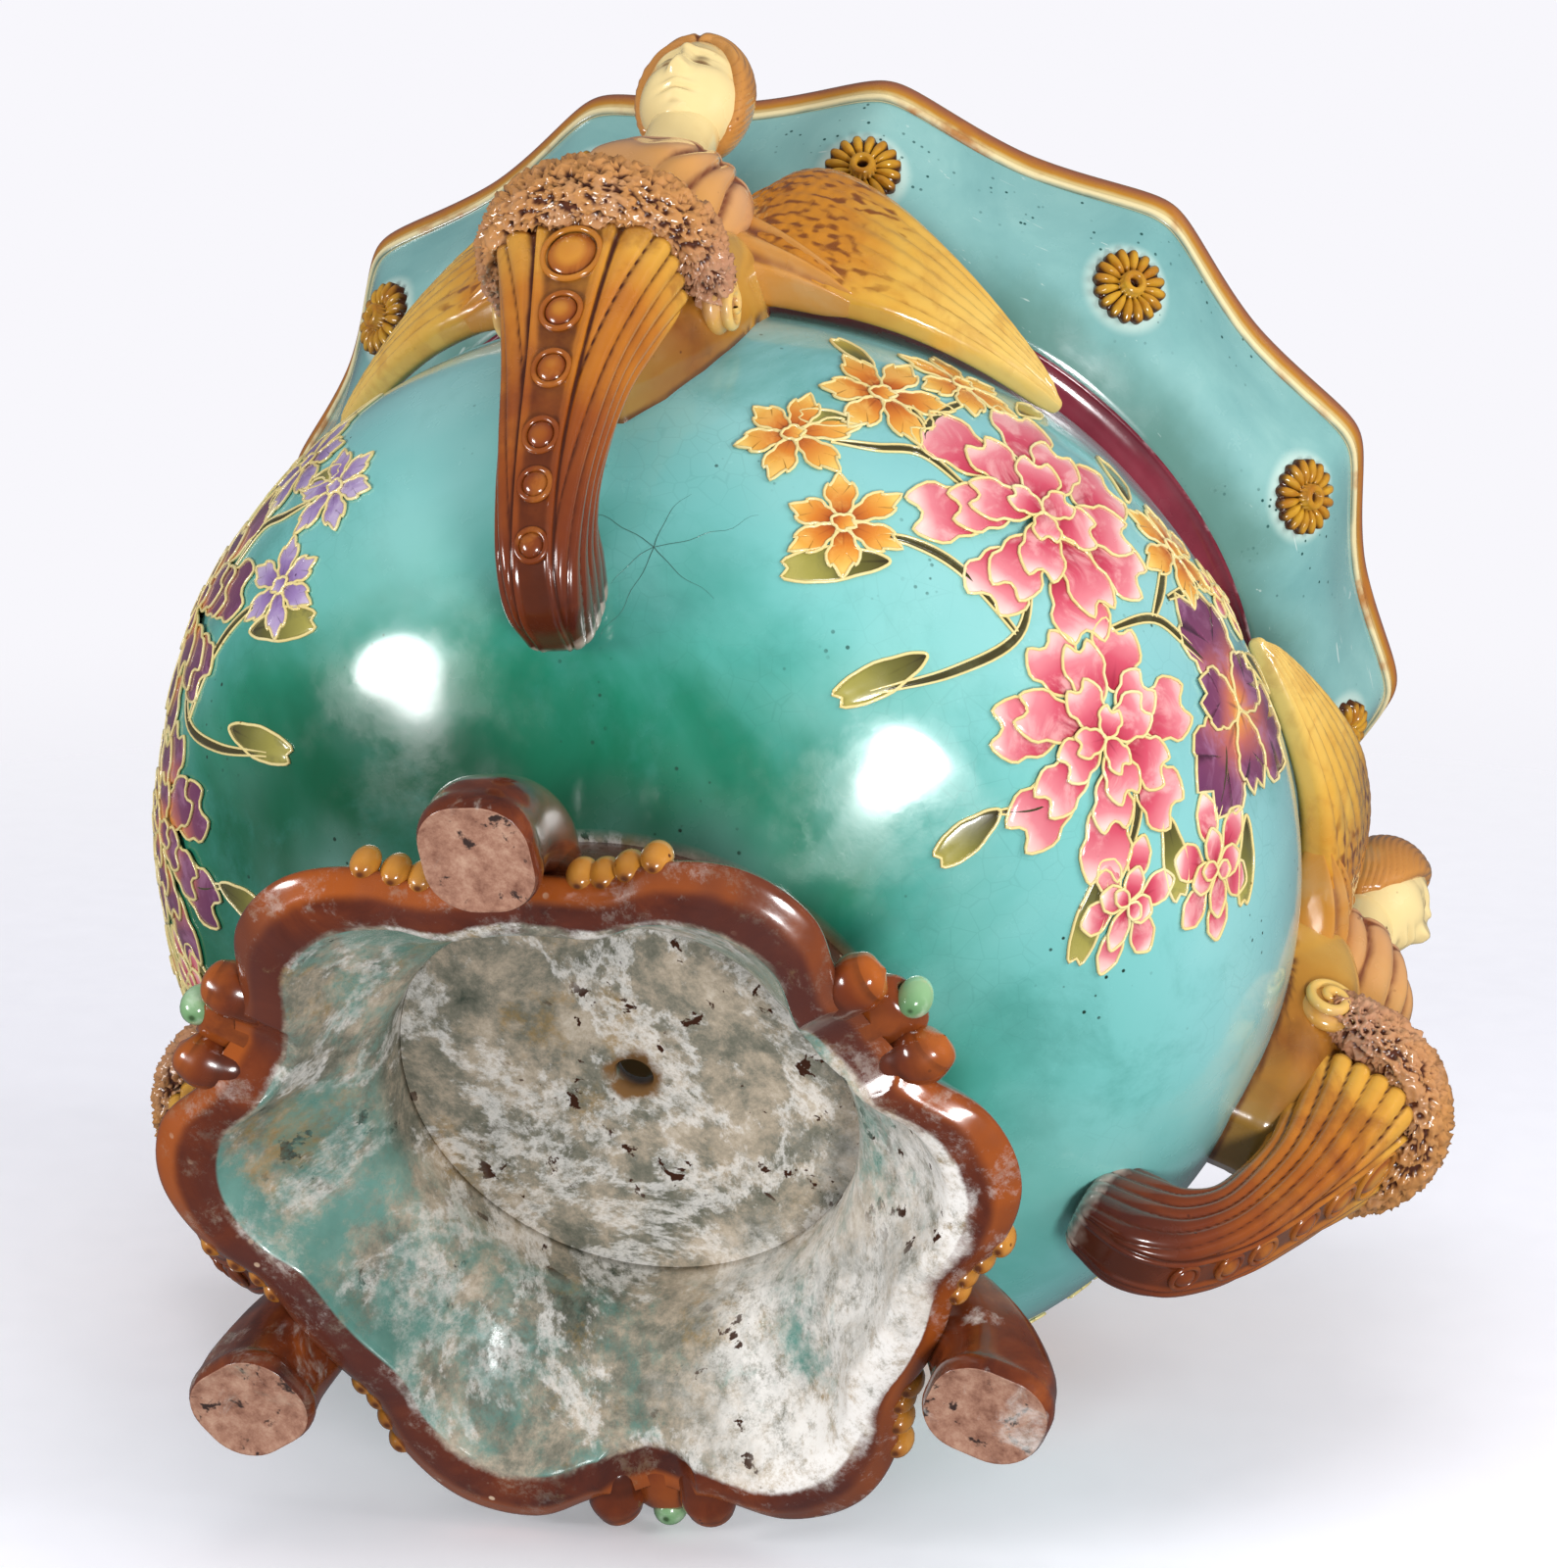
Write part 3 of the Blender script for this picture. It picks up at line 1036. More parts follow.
knob_rows = through(KNOB_PATH, 6)
clasp_patches = []
for knob_side in (-1, 1):
    knob = tube(knob_rows[:, :3] * np.array([1, knob_side, 1]), knob_rows[:, 3], 28)
    along = np.linspace(0, 1, len(knob_rows))[:, None]
    rib = 0.5 + 0.5 * np.cos(along * 19)
    middle = knob_rows[:, None, :3] * np.array([1, knob_side, 1])
    knob = middle + (knob - middle) * (1 - 0.05 * rib)[..., None]
    clasp_patches.append((knob, "around", {"along": along, "recess": 0.5 * rib * (along < 0.7)}))
saddle_turn = np.linspace(0, 2 * np.pi, 32, endpoint=False)
saddle_rings = []
saddle_pit = []
for reach_now, share, pit in SADDLE_RINGS:
    y = SADDLE_HALF_W * share * np.cos(saddle_turn)
    z = CLASP_Z + SADDLE_HALF_H * share * np.sin(saddle_turn)
    saddle_rings.append(np.column_stack([np.full(32, reach_now), y, z]))
    saddle_pit.append(pit)
saddle_pit = np.array(saddle_pit, float)[:, None]
saddle_marks = {"along": 0.6 - 0.3 * saddle_pit, "recess": saddle_pit}
clasp_patches.append((np.array(saddle_rings), "around", saddle_marks))
brown_clasp = pooled(
    "brown_clasp_glaze",
    ((0.1, (74, 32, 18)), (0.5, (110, 48, 20)), (0.9, (172, 90, 30))),
    (36, 16, 10),
    (74, 30, 16),
)
for side, degrees in CLASPS:
    piece(f"{side}_curled_clasp", spun(clasp_patches, degrees), brown_clasp, "brown_glaze", f"{side}_clasp")

# Clasp jewels
# A drop of clay is luted on the front of each clasp, like a cabochon in its setting.
# Its pale green glaze is lightest on the crown and dark at both ends.
JEWEL_R = 0.139
jewel_drop = ball(0.0058, 0.0058, 0.0084, 18, 26)
jewel_rise = np.linspace(-1, 1, 18)[:, None]
jewel_drop[..., :2] *= (1 - 0.22 * jewel_rise)[..., None]
jewel_drop += np.array([JEWEL_R, 0, CLASP_Z])
jewel_glaze = pooled(
    "green_jewel_glaze",
    ((0.0, (98, 140, 92)), (0.5, (150, 190, 140)), (1.0, (206, 226, 196))),
    (58, 84, 50),
    (226, 236, 220),
)
for side, degrees in CLASPS:
    drop = (jewel_drop, "around", {"along": 0.5 + 0.5 * jewel_rise, "recess": np.abs(jewel_rise) ** 6})
    piece(f"{side}_cabochon", spun([drop], degrees), jewel_glaze, "jewel_glaze", f"{side}_clasp_jewel")

# Horns
# Each handle is a horn of plenty, pressed in a two-part mould and luted to the bowl below and at its mouth.
# Slanting flutes run round it from a flat strip in front, and brown glaze has gathered in their grooves.
HORN_STEPS = 14
# Sections of the horn: reach and height of its outer edge, then of its inner edge, half its width
HORN_SECTIONS = (
    (0.1570, 0.1030, 0.1630, 0.1380, 0.0125),
    (0.1730, 0.0960, 0.1770, 0.1360, 0.0145),
    (0.1910, 0.0999, 0.1850, 0.1354, 0.0145),
    (0.2070, 0.1150, 0.1941, 0.1410, 0.0150),
    (0.2200, 0.1340, 0.2010, 0.1541, 0.0165),
    (0.2330, 0.1589, 0.2075, 0.1729, 0.0195),
    (0.2449, 0.1830, 0.2100, 0.1941, 0.0245),
    (0.2550, 0.2050, 0.2120, 0.2140, 0.0300),
)
HORN_SQUARENESS = 3.4
STRIP_TURN = 0.46
FLUTES = 8
FLUTE_SLANT = 3.2
FLUTE_DEPTH = 0.0010
FLUTE_GROWTH = 0.0020
horn_rows = through(HORN_SECTIONS, HORN_STEPS)
horn_turn = np.linspace(-np.pi, np.pi, 192, endpoint=False)
horn_along = np.linspace(0, 1, len(horn_rows))[:, None]
horn_outer = horn_rows[:, 0:2]
horn_inner = horn_rows[:, 2:4]
horn_middle = (horn_outer + horn_inner) / 2
horn_half = (horn_outer - horn_inner) / 2
flute_place = (np.abs(horn_turn) - STRIP_TURN) / (np.pi - STRIP_TURN) * FLUTES - FLUTE_SLANT * horn_along
flute = np.abs(np.sin(np.pi * flute_place)) ** 0.5
strip_share = np.clip(np.abs(horn_turn) / STRIP_TURN, 0, 2)
strip_edge = np.exp(-(((strip_share - 0.84) / 0.12) ** 2))
flute = np.where(strip_share < 1, 0.3 + 0.7 * strip_edge, flute)
seam = np.exp(-(((strip_share - 1.06) / 0.07) ** 2))
flute = flute * (1 - 0.9 * seam)
relief = (FLUTE_DEPTH + FLUTE_GROWTH * horn_along) * (flute - 0.6)
half_length = np.linalg.norm(horn_half, axis=1, keepdims=True)
square = np.abs(np.cos(horn_turn)) ** HORN_SQUARENESS + np.abs(np.sin(horn_turn)) ** HORN_SQUARENESS
square = square ** (-1 / HORN_SQUARENESS)
round_length = square * np.hypot(np.cos(horn_turn) * half_length, np.sin(horn_turn) * horn_rows[:, 4:])
grown = square * (1 + relief / round_length)
horn_grid = np.stack(
    [
        horn_middle[:, :1] + horn_half[:, :1] * np.cos(horn_turn) * grown,
        horn_rows[:, 4:] * np.sin(horn_turn) * grown,
        horn_middle[:, 1:] + horn_half[:, 1:] * np.cos(horn_turn) * grown,
    ],
    -1,
)
end_middle = horn_grid[0].mean(axis=0)
end_cap = []
for share, depth in ((0.0, 0.0050), (0.5, 0.0048), (0.78, 0.0038), (0.92, 0.0020)):
    end_cap.append(end_middle + (horn_grid[0] - end_middle) * share - np.array([depth, 0, 0]))
mouth_middle = horn_grid[-1].mean(axis=0)
mouth_cap = [mouth_middle + (horn_grid[-1] - mouth_middle) * share for share in (0.8, 0.4, 0.0)]
horn_grid = np.vstack([np.array(end_cap), horn_grid, np.array(mouth_cap)])
horn_recess = np.clip(1 - flute, 0, 1) ** 1.2
horn_recess = np.vstack([0.2 + np.zeros((4, 192)), horn_recess, 0.6 + np.zeros((3, 192))])
horn_colour_place = np.vstack([np.zeros((4, 1)), horn_along, np.ones((3, 1))])
amber_horn = pooled(
    "amber_horn_glaze",
    (
        (0.0, (168, 150, 138)),
        (0.03, (70, 30, 22)),
        (0.3, (112, 50, 22)),
        (0.55, (146, 74, 24)),
        (0.78, (184, 112, 34)),
        (1.0, (212, 156, 60)),
    ),
    (78, 34, 16),
    (120, 56, 24),
    34.0,
    0.5,
)
horn_marks = {"along": horn_colour_place, "recess": horn_recess}
for side, degrees in FEET:
    horn = spun([(horn_grid, "around", horn_marks)], degrees)
    piece(f"{side}_fluted_horn", horn, amber_horn, "amber_glaze", f"{side}_horn")

# Horn pearls
# Low oval pearls of clay, each in a rolled ring, were pressed on to the strip and glazed with it.
# They grow towards the horn's mouth, where the last is a broad boss.
PEARL_H = 0.0030
PEARL_SUNK = 0.0012
PEARL_SHARE = 0.86
# Pearls along the horn's outer edge: section before, share of the way to the next, half length, half width
PEARLS = (
    (2, 0.3, 0.0052, 0.0050),
    (3, 0.2, 0.0054, 0.0052),
    (3, 0.95, 0.0058, 0.0055),
    (4, 0.85, 0.0064, 0.0060),
    (5, 0.65, 0.0068, 0.0066),
    (6, 0.55, 0.0100, 0.0098),
)
pearl_patches = []
for section, share, half_long, half_wide in PEARLS:
    edge_rows = horn_outer[HORN_STEPS * section : HORN_STEPS * (section + 1) + 1]
    place = [np.interp(HORN_STEPS * share, np.arange(len(edge_rows)), edge_rows[:, axis]) for axis in (0, 1)]
    onward = edge_rows[-1] - edge_rows[0]
    onward = onward / np.linalg.norm(onward)
    frame_axes = np.array([[onward[0], 0, onward[1]], [0, 1, 0], [onward[1], 0, -onward[0]]])
    origin = np.array([place[0], 0, place[1]]) - PEARL_SUNK * frame_axes[2]
    pearl = ball(half_long * PEARL_SHARE, half_wide * PEARL_SHARE, PEARL_H, 18, 32)
    round_turn = np.linspace(0, 2 * np.pi, 40, endpoint=False)[:, None]
    across_turn = np.linspace(0, 2 * np.pi, 10, endpoint=False)
    spread = 1 + 0.0011 / half_long * np.cos(across_turn)
    ring_x = half_long * np.cos(round_turn) * spread
    ring_y = half_wide * np.sin(round_turn) * spread
    ring_z = 0.0008 + 0.0012 * np.sin(across_turn) + 0 * round_turn
    ring = np.stack([ring_x, ring_y, ring_z], -1)
    height = np.clip(np.sin(np.linspace(-np.pi / 2, np.pi / 2, 18)), 0, 1)[:, None]
    up_horn = (section + share) / len(PEARLS)
    pearl_marks = {"along": up_horn * height, "recess": (1 - height) ** 4}
    ring_marks = {"along": 0.8 * up_horn, "recess": 0.15}
    pearl_patches.append((pearl @ frame_axes + origin, "around", pearl_marks))
    pearl_patches.append((ring @ frame_axes + origin, "around along", ring_marks))
pearl_glaze = pooled(
    "amber_pearl_glaze",
    ((0.1, (98, 42, 18)), (0.45, (124, 58, 22)), (0.75, (158, 88, 30)), (1.0, (200, 136, 48))),
    (70, 28, 12),
    (196, 122, 46),
    60.0,
    0.4,
)
for side, degrees in FEET:
    chain = spun(pearl_patches, degrees)
    piece(f"{side}_pearl_chain", chain, pearl_glaze, "pearl_glaze", f"{side}_horn_pearls")

# Horn crusts
# A collar of crumbled clay, pushed through a sieve, wraps the horn's mouth and ends in a scroll on each side.
# Its mauve and brown glazes ran together and left the pits dark.
VOLUTE = np.array([0.211, 0.229])
CRUST_FRONT = np.array([0.261, 0.216])
CRUST_HALF_W = 0.034
CRUST_THICK = 0.0095
CRUST_HIGH = 0.0120
CRUMB = 0.0035
CRUMB_H = 0.0042
SCROLL_R = 0.0105
SCROLL_TURNS = 1.8
# Stations of the crust: share of its arm, turn round its front, share of its full band
CRUST_STATIONS = (
    (0.0, -90, 0.6), (0.55, -90, 0.8), (1.0, -75, 0.95), (1.0, -40, 1.0), (1.0, 0, 1.05),
    (1.0, 40, 1.0), (1.0, 75, 0.95), (0.55, 90, 0.8), (0.0, 90, 0.6),
)
crust_way = CRUST_FRONT - VOLUTE
crust_length = np.linalg.norm(crust_way)
crust_way = crust_way / crust_length
crust_rows = through(CRUST_STATIONS, 22)
crust_turn = np.radians(crust_rows[:, 1])
crust_run = (crust_length - CRUST_HALF_W) * crust_rows[:, 0] + CRUST_HALF_W * np.cos(crust_turn)
crust_x = VOLUTE[0] + crust_way[0] * crust_run
crust_z = VOLUTE[1] + crust_way[1] * crust_run
crust_path = np.column_stack([crust_x, CRUST_HALF_W * np.sin(crust_turn), crust_z])
crust_ahead = np.cos(crust_turn)
crust_out = np.column_stack([crust_way[0] * crust_ahead, np.sin(crust_turn), crust_way[1] * crust_ahead])
crust_normal = np.array([-crust_way[1], 0, crust_way[0]])
ring_turn = np.linspace(0, 2 * np.pi, 96, endpoint=False)[None, :, None]
square = (np.abs(np.cos(ring_turn)) ** 3 + np.abs(np.sin(ring_turn)) ** 3) ** (-1 / 3)
band_now = crust_rows[:, 2][:, None, None]
crust_across = crust_out[:, None] * CRUST_THICK * np.cos(ring_turn)
crust_spoke = square * band_now * (crust_across + crust_normal * CRUST_HIGH * np.sin(ring_turn))
crust_grid = crust_path[:, None] + crust_spoke
crust_lift = np.empty(crust_grid.shape[:2])
for row in range(crust_grid.shape[0]):
    for column in range(crust_grid.shape[1]):
        spot = Vector(crust_grid[row, column]) / CRUMB
        worm = 1 - min(1.0, 3.8 * abs(noise.noise(spot * 0.8)))
        thread = 1 - min(1.0, 4.0 * abs(noise.noise(spot * 1.2 + Vector((7, 3, 5)))))
        crust_lift[row, column] = max(worm, 0.85 * thread)
spoke_length = np.linalg.norm(crust_spoke, axis=-1, keepdims=True)
crust_grid = crust_grid + crust_spoke / spoke_length * (crust_lift[..., None] - 0.7) * CRUMB_H
crust_recess = np.clip(1.0 - crust_lift * 1.6, 0, 1)
crust_along = 0.7 * np.abs(np.linspace(-1, 1, len(crust_rows)))[:, None] ** 2
crust_patches = [(crust_grid, "around", {"along": crust_along, "recess": crust_recess})]
for scroll_side in (-1, 1):
    curl = np.linspace(0, 1, 60)
    curl_turn = -0.6 + 2 * np.pi * SCROLL_TURNS * curl
    curl_r = SCROLL_R * (1 - 0.86 * curl)
    scroll = np.column_stack(
        [
            VOLUTE[0] + 0.001 + curl_r * np.cos(curl_turn),
            scroll_side * (CRUST_HALF_W + 0.0040 + 0.0030 * curl),
            VOLUTE[1] - 0.003 + curl_r * np.sin(curl_turn),
        ]
    )
    thick = 0.0021 * np.sin(np.linspace(0.5, np.pi - 0.6, 60))
    scroll = tube(scroll, thick, 12, 1.0, (0, 1, 0))
    crust_patches.append((scroll, "around", {"along": 1.0, "recess": 0.0}))
    cheek = ball(SCROLL_R, 0.0050, SCROLL_R, 18, 30)
    cheek += np.array([VOLUTE[0] + 0.001, scroll_side * (CRUST_HALF_W + 0.0005), VOLUTE[1] - 0.003])
    crust_patches.append((cheek, "around", {"along": 0.85, "recess": 0.35}))
crust_glaze = pooled(
    "mauve_crust_glaze",
    (
        (0.05, (196, 138, 80)),
        (0.3, (190, 138, 106)),
        (0.55, (172, 120, 84)),
        (0.8, (204, 146, 64)),
        (1.0, (226, 184, 100)),
    ),
    (86, 44, 28),
    (198, 154, 120),
    55.0,
    0.5,
    0.5,
)
for side, degrees in FEET:
    collar = spun(crust_patches, degrees)
    piece(f"{side}_crumbled_crust", collar, crust_glaze, "crust_glaze", f"{side}_horn_crust")

# Brackets
# A shield-shaped clay block behind the horn's mouth carries the figure and is luted to the bowl.
# Its amber glaze has pooled dark along the joint.
BRACKET_LOW_Z = 0.181
BRACKET_HIGH_Z = 0.276
BRACKET_IN_R = 0.178
BRACKET_OUT_R = 0.228
BRACKET_HALF_W = 0.040
# Side outline of the bracket: share of the way out, share of the way up, bulge of the arc to the next corner
BRACKET_OUTLINE = (
    (0.0, 0.0, 0.0), (0.5, 0.0, 0.2), (0.88, 0.24, 0.06), (1.0, 0.5, 0.08),
    (0.86, 0.87, 0.1), (0.5, 1.0, 0.0), (0.0, 1.0, 0.0), (0.0, 0.0, 0.0),
)
# The shield's edge: share of the half width, shares of the height where the block starts and ends
SHIELD = (
    (0.0, 0.0, 1.0),
    (0.26, 0.0, 1.0),
    (0.55, 0.12, 1.0),
    (0.8, 0.3, 0.99),
    (0.94, 0.46, 0.94),
    (1.0, 0.58, 0.84),
)
shield_rows = np.array(SHIELD)
bracket_side = arcs(BRACKET_OUTLINE, 10)[:-1]
bracket_across = np.sin(np.linspace(-1, 1, 49) * np.pi / 2)[:, None]
bracket_size = (1 - np.abs(bracket_across) ** 4) ** (1 / 4)
shield_low = np.interp(np.abs(bracket_across), shield_rows[:, 0], shield_rows[:, 1])
shield_high = np.interp(np.abs(bracket_across), shield_rows[:, 0], shield_rows[:, 2])
bracket_up = shield_low + (shield_high - shield_low) * bracket_side[:, 1]
bracket_grid = np.stack(
    [
        BRACKET_IN_R + (BRACKET_OUT_R - BRACKET_IN_R) * bracket_size * bracket_side[:, 0],
        bracket_across * BRACKET_HALF_W + 0 * bracket_up,
        BRACKET_LOW_Z + (BRACKET_HIGH_Z - BRACKET_LOW_Z) * bracket_up,
    ],
    -1,
)


def seated(grid):
    """Points held back in the bowl's wall, so that nothing shows inside the bowl."""
    reach = np.hypot(grid[..., 0], grid[..., 1])
    wall = np.interp(grid[..., 2], outer_wall[:, 1], outer_wall[:, 0]) - BOWL_WALL / 2
    outward = np.maximum(reach, wall) / reach
    return grid * np.stack([outward, outward, np.ones(reach.shape)], -1)


bowl_reach = np.interp(bracket_grid[..., 2], outer_wall[:, 1], outer_wall[:, 0])
off_bowl = np.hypot(bracket_grid[..., 0], bracket_grid[..., 1]) - bowl_reach
bracket_grid = seated(bracket_grid)
joint_pool = np.exp(-((off_bowl / 0.0025) ** 2))
belly_pool = np.exp(-(((bracket_up - 0.3) / 0.14) ** 2)) * (off_bowl > 0.004)
bracket_pool = 0.9 * joint_pool + 0.5 * belly_pool
amber_bracket = pooled(
    "amber_bracket_glaze",
    ((0.0, (150, 112, 52)), (0.25, (136, 80, 28)), (0.6, (178, 124, 44)), (1.0, (206, 164, 82))),
    (96, 56, 26),
    (178, 116, 40),
    34.0,
)
for side, degrees in FEET:
    patch = (bracket_grid, "around", {"along": bracket_up, "recess": bracket_pool})
    piece(f"{side}_bracket_block", spun([patch], degrees), amber_bracket, "amber_glaze", f"{side}_bracket")

# Figure busts
# A draped clay bust, pressed in a mould, is luted on to each horn. Its gown hangs in folds from a round
# neckline, mauve over amber, and on either side it runs out in a swag under the wing.
BUST_R = 0.217
BUST_Z = 0.210
BUST_H = 0.090
BUST_HALF_D = 0.030
BUST_HALF_W = 0.031
# Sections of the bust: share of its height, shares of depth and width, share of the lean inward
BUST_SECTIONS = (
    (0.0, 0.75, 0.76, -0.07), (0.25, 0.90, 0.84, -0.07), (0.5, 0.92, 0.86, 0.0), (0.72, 1.0, 1.0, 0.03),
    (0.86, 0.90, 1.02, 0.05), (0.95, 0.68, 0.80, 0.03), (1.0, 0.42, 0.46, 0.03),
)
# Stations of a swag: degrees from the figure, reach of its face, low edge, top edge, half its thickness
SWAG_STATIONS = (
    (3.0, 0.2150, 0.2570, 0.2960, 0.0110),
    (6.5, 0.2150, 0.2575, 0.2960, 0.0110),
    (10.0, 0.2142, 0.2585, 0.2900, 0.0110),
    (13.5, 0.2124, 0.2595, 0.2820, 0.0100),
    (17.0, 0.2090, 0.2605, 0.2740, 0.0080),
    (19.5, 0.2050, 0.2615, 0.2680, 0.0050),
)
bust_rows = through(BUST_SECTIONS, 14)
bust_turn = np.linspace(-np.pi, np.pi, 168, endpoint=False)
bust_up = bust_rows[:, :1]
fold_drift = np.empty((len(bust_rows), len(bust_turn)))
for row, up in enumerate(bust_rows[:, 0]):
    for column, turn in enumerate(bust_turn):
        spot = Vector((1.6 * math.sin(turn), 1.6 * math.cos(turn), 2.4 * up))
        fold_drift[row, column] = noise.noise(spot)
fold_place = 6 * bust_turn - 1.4 * bust_up * np.sin(2 * bust_turn) + 2.6 * fold_drift
fold = np.abs(np.cos(fold_place)) ** 0.7
fold_amount = np.clip((np.abs(bust_turn) - 0.05) / 0.5, 0.6, 1) * np.clip((0.97 - bust_up) / 0.1, 0, 1)
breast = np.exp(-(((np.abs(bust_turn) - 0.5) / 0.36) ** 2)) * np.exp(-(((bust_up - 0.68) / 0.16) ** 2))
neckline = np.exp(-(((bust_up - 0.90 - 0.02 * np.cos(bust_turn)) / 0.025) ** 2))
bust_lift = 0.0036 * (fold - 0.7) * fold_amount + 0.0022 * breast + 0.0014 * neckline
bust_deep = BUST_HALF_D * bust_rows[:, 1:2] + bust_lift
bust_wide = BUST_HALF_W * bust_rows[:, 2:3] + bust_lift
bust_grid = np.stack(
    [
        BUST_R - BUST_HALF_D * bust_rows[:, 3:] + bust_deep * np.cos(bust_turn),
        bust_wide * np.sin(bust_turn),
        np.broadcast_to(BUST_Z + BUST_H * bust_up, fold.shape),
    ],
    -1,
)
under_neckline = np.exp(-(((bust_up - 0.865 - 0.02 * np.cos(bust_turn)) / 0.014) ** 2))
bust_recess = np.clip(0.9 * (1 - fold) * fold_amount + 0.6 * under_neckline, 0, 1)
bust_patches = [(seated(bust_grid), "around", {"along": bust_up, "recess": bust_recess})]


def fin(rows, lift, columns):
    """A leaf-shaped solid along the bowl, from stations of angle, reach, edges and half thickness."""
    turn = np.linspace(-np.pi, np.pi, columns, endpoint=False)
    out = np.sign(np.cos(turn)) * np.abs(np.cos(turn)) ** 0.6
    rise = np.sign(np.sin(turn)) * np.abs(np.sin(turn)) ** 0.85
    reach = rows[:, 1:2] - rows[:, 4:] + rows[:, 4:] * out + lift * np.clip(np.cos(turn), 0, 1) ** 0.4
    height = (rows[:, 2:3] + rows[:, 3:4]) / 2 + (rows[:, 3:4] - rows[:, 2:3]) / 2 * rise
    angle = np.radians(rows[:, :1])
    grid = np.stack([reach * np.cos(angle), reach * np.sin(angle), height], -1)
    ends = []
    for row, back in ((0, -1), (-1, 1)):
        middle = grid[row].mean(axis=0)
        aside = back * np.array([-math.sin(angle[row, 0]), math.cos(angle[row, 0]), 0]) * rows[row, 4]
        shares = ((0.0, 0.75), (0.45, 0.68), (0.75, 0.48), (0.92, 0.22))
        ends.append([middle + (grid[row] - middle) * share + aside * far for share, far in shares])
    return np.vstack([np.array(ends[0]), grid, np.array(ends[1][::-1])])


swag_rows = through(SWAG_STATIONS, 12)
swag_turn = np.linspace(-np.pi, np.pi, 96, endpoint=False)
swag_way = np.linspace(0, 1, len(swag_rows))[:, None]
swag_fold = 0.5 + 0.5 * np.cos(11 * np.sin(swag_turn) * (0.6 + 0.4 * swag_way) + 5 * swag_way)
swag_grid = fin(swag_rows, 0.0030 * (swag_fold - 0.6), 96)
swag_ends = np.zeros((4, 96))
swag_recess = np.vstack([swag_ends, 0.85 * (1 - swag_fold) * np.clip(np.cos(swag_turn), 0, 1), swag_ends])
swag_along = np.concatenate([np.zeros(4), 0.55 - 0.5 * swag_way[:, 0], np.zeros(4)])[:, None]
for mirror in (1, -1):
    swag = swag_grid * np.array([1, mirror, 1])
    bust_patches.append((swag, "around", {"along": swag_along, "recess": swag_recess}))
mauve = pooled(
    "mauve_gown_glaze",
    ((0.05, (200, 132, 44)), (0.5, (208, 148, 72)), (0.75, (206, 152, 100)), (1.0, (202, 152, 114))),
    (126, 70, 42),
    (206, 160, 104),
    30.0,
    0.5,
)
for side, degrees in FEET:
    piece(f"{side}_draped_bust", spun(bust_patches, degrees), mauve, "mauve_glaze", f"{side}_figure_torso")

# Figure heads
# A calm, evenly formed face on a long upright neck was pressed in clay and luted into the bust.
# Its ivory glaze is thin on the ridges and brown in the hollows.
HEAD_AT = np.array([0.227, 0.0, 0.3445])
HEAD_BOW = math.radians(4)
HEAD_DEEP = 0.0172
HEAD_WIDE = 0.0170
HEAD_HIGH = 0.0252
# Forms of the face: place to the side, height, breadth, tallness, rise out of the skull
FACE_FORMS = (
    (0.0, 0.0010, 0.0017, 0.0062, 0.0028),
    (0.0, -0.0070, 0.0022, 0.0028, 0.0036),
    (0.0026, -0.0086, 0.0013, 0.0013, 0.0018),
    (0.0062, 0.0012, 0.0034, 0.0026, -0.0034),
    (0.0064, 0.0006, 0.0023, 0.0015, 0.0026),
    (0.0064, -0.0012, 0.0026, 0.0005, -0.0008),
    (0.0064, 0.0022, 0.0027, 0.0005, 0.0010),
    (0.0062, 0.0056, 0.0042, 0.0012, 0.0014),
    (0.0084, -0.0074, 0.0040, 0.0044, 0.0012),
    (0.0, -0.0132, 0.0036, 0.0008, 0.0017),
    (0.0, -0.0148, 0.0043, 0.0006, -0.0018),
    (0.0, -0.0164, 0.0030, 0.0011, 0.0018),
    (0.0, -0.0192, 0.0036, 0.0012, -0.0012),
    (0.0, -0.0222, 0.0046, 0.0030, 0.0024),
)
# Sections of the neck: place ahead of the head's middle, place over it, radius
THROAT_SECTIONS = (
    (-0.004, -0.052, 0.0160),
    (-0.004, -0.044, 0.0136),
    (-0.0035, -0.032, 0.0126),
    (-0.003, -0.018, 0.0124),
    (-0.003, -0.008, 0.0120),
)


def tilted(points):
    """Points about the middle of the head, bowed a little and put in their place."""
    return points @ np.array(Matrix.Rotation(HEAD_BOW, 3, "Y")).T + HEAD_AT


skull = ball(HEAD_DEEP, HEAD_WIDE, HEAD_HIGH, 121, 168)
jaw = np.clip(-skull[..., 2] / HEAD_HIGH, 0, 1)
skull[..., 1] *= 1 + 0.10 * np.sin(np.pi * jaw) - 0.05 * jaw**2
facing = np.clip(skull[..., 0] / HEAD_DEEP, 0, 1) ** 0.5
face_rise = np.zeros(skull.shape[:2])
face_hollow = np.zeros(skull.shape[:2])
for across_face, up_face, broad, tall, rise in FACE_FORMS:
    for mirror in {across_face, -across_face}:
        far = ((skull[..., 1] - mirror) / broad) ** 2 + ((skull[..., 2] - up_face) / tall) ** 2
        bell = np.exp(-far / 2) * facing
        face_rise += rise * bell
        face_hollow += bell * (rise < 0)
skull[..., 0] += face_rise
throat_rows = through(THROAT_SECTIONS, 6)
throat = tube(throat_rows[:, [0, 0, 1]] * np.array([1, 0, 1]), throat_rows[:, 2], 48, 1.0, (0, 1, 0))
ivory = pooled(
    "ivory_face_glaze",
    ((0.2, (222, 190, 122)), (0.6, (234, 208, 144)), (1.0, (240, 220, 166))),
    (112, 74, 40),
    (212, 178, 116),
    30.0,
    0.35,
)
head_patches = [
    (tilted(skull), "around", {"along": 0.7, "recess": np.clip(0.6 * face_hollow, 0, 0.7)}),
    (tilted(throat), "around", {"along": 0.6, "recess": 0.0}),
]
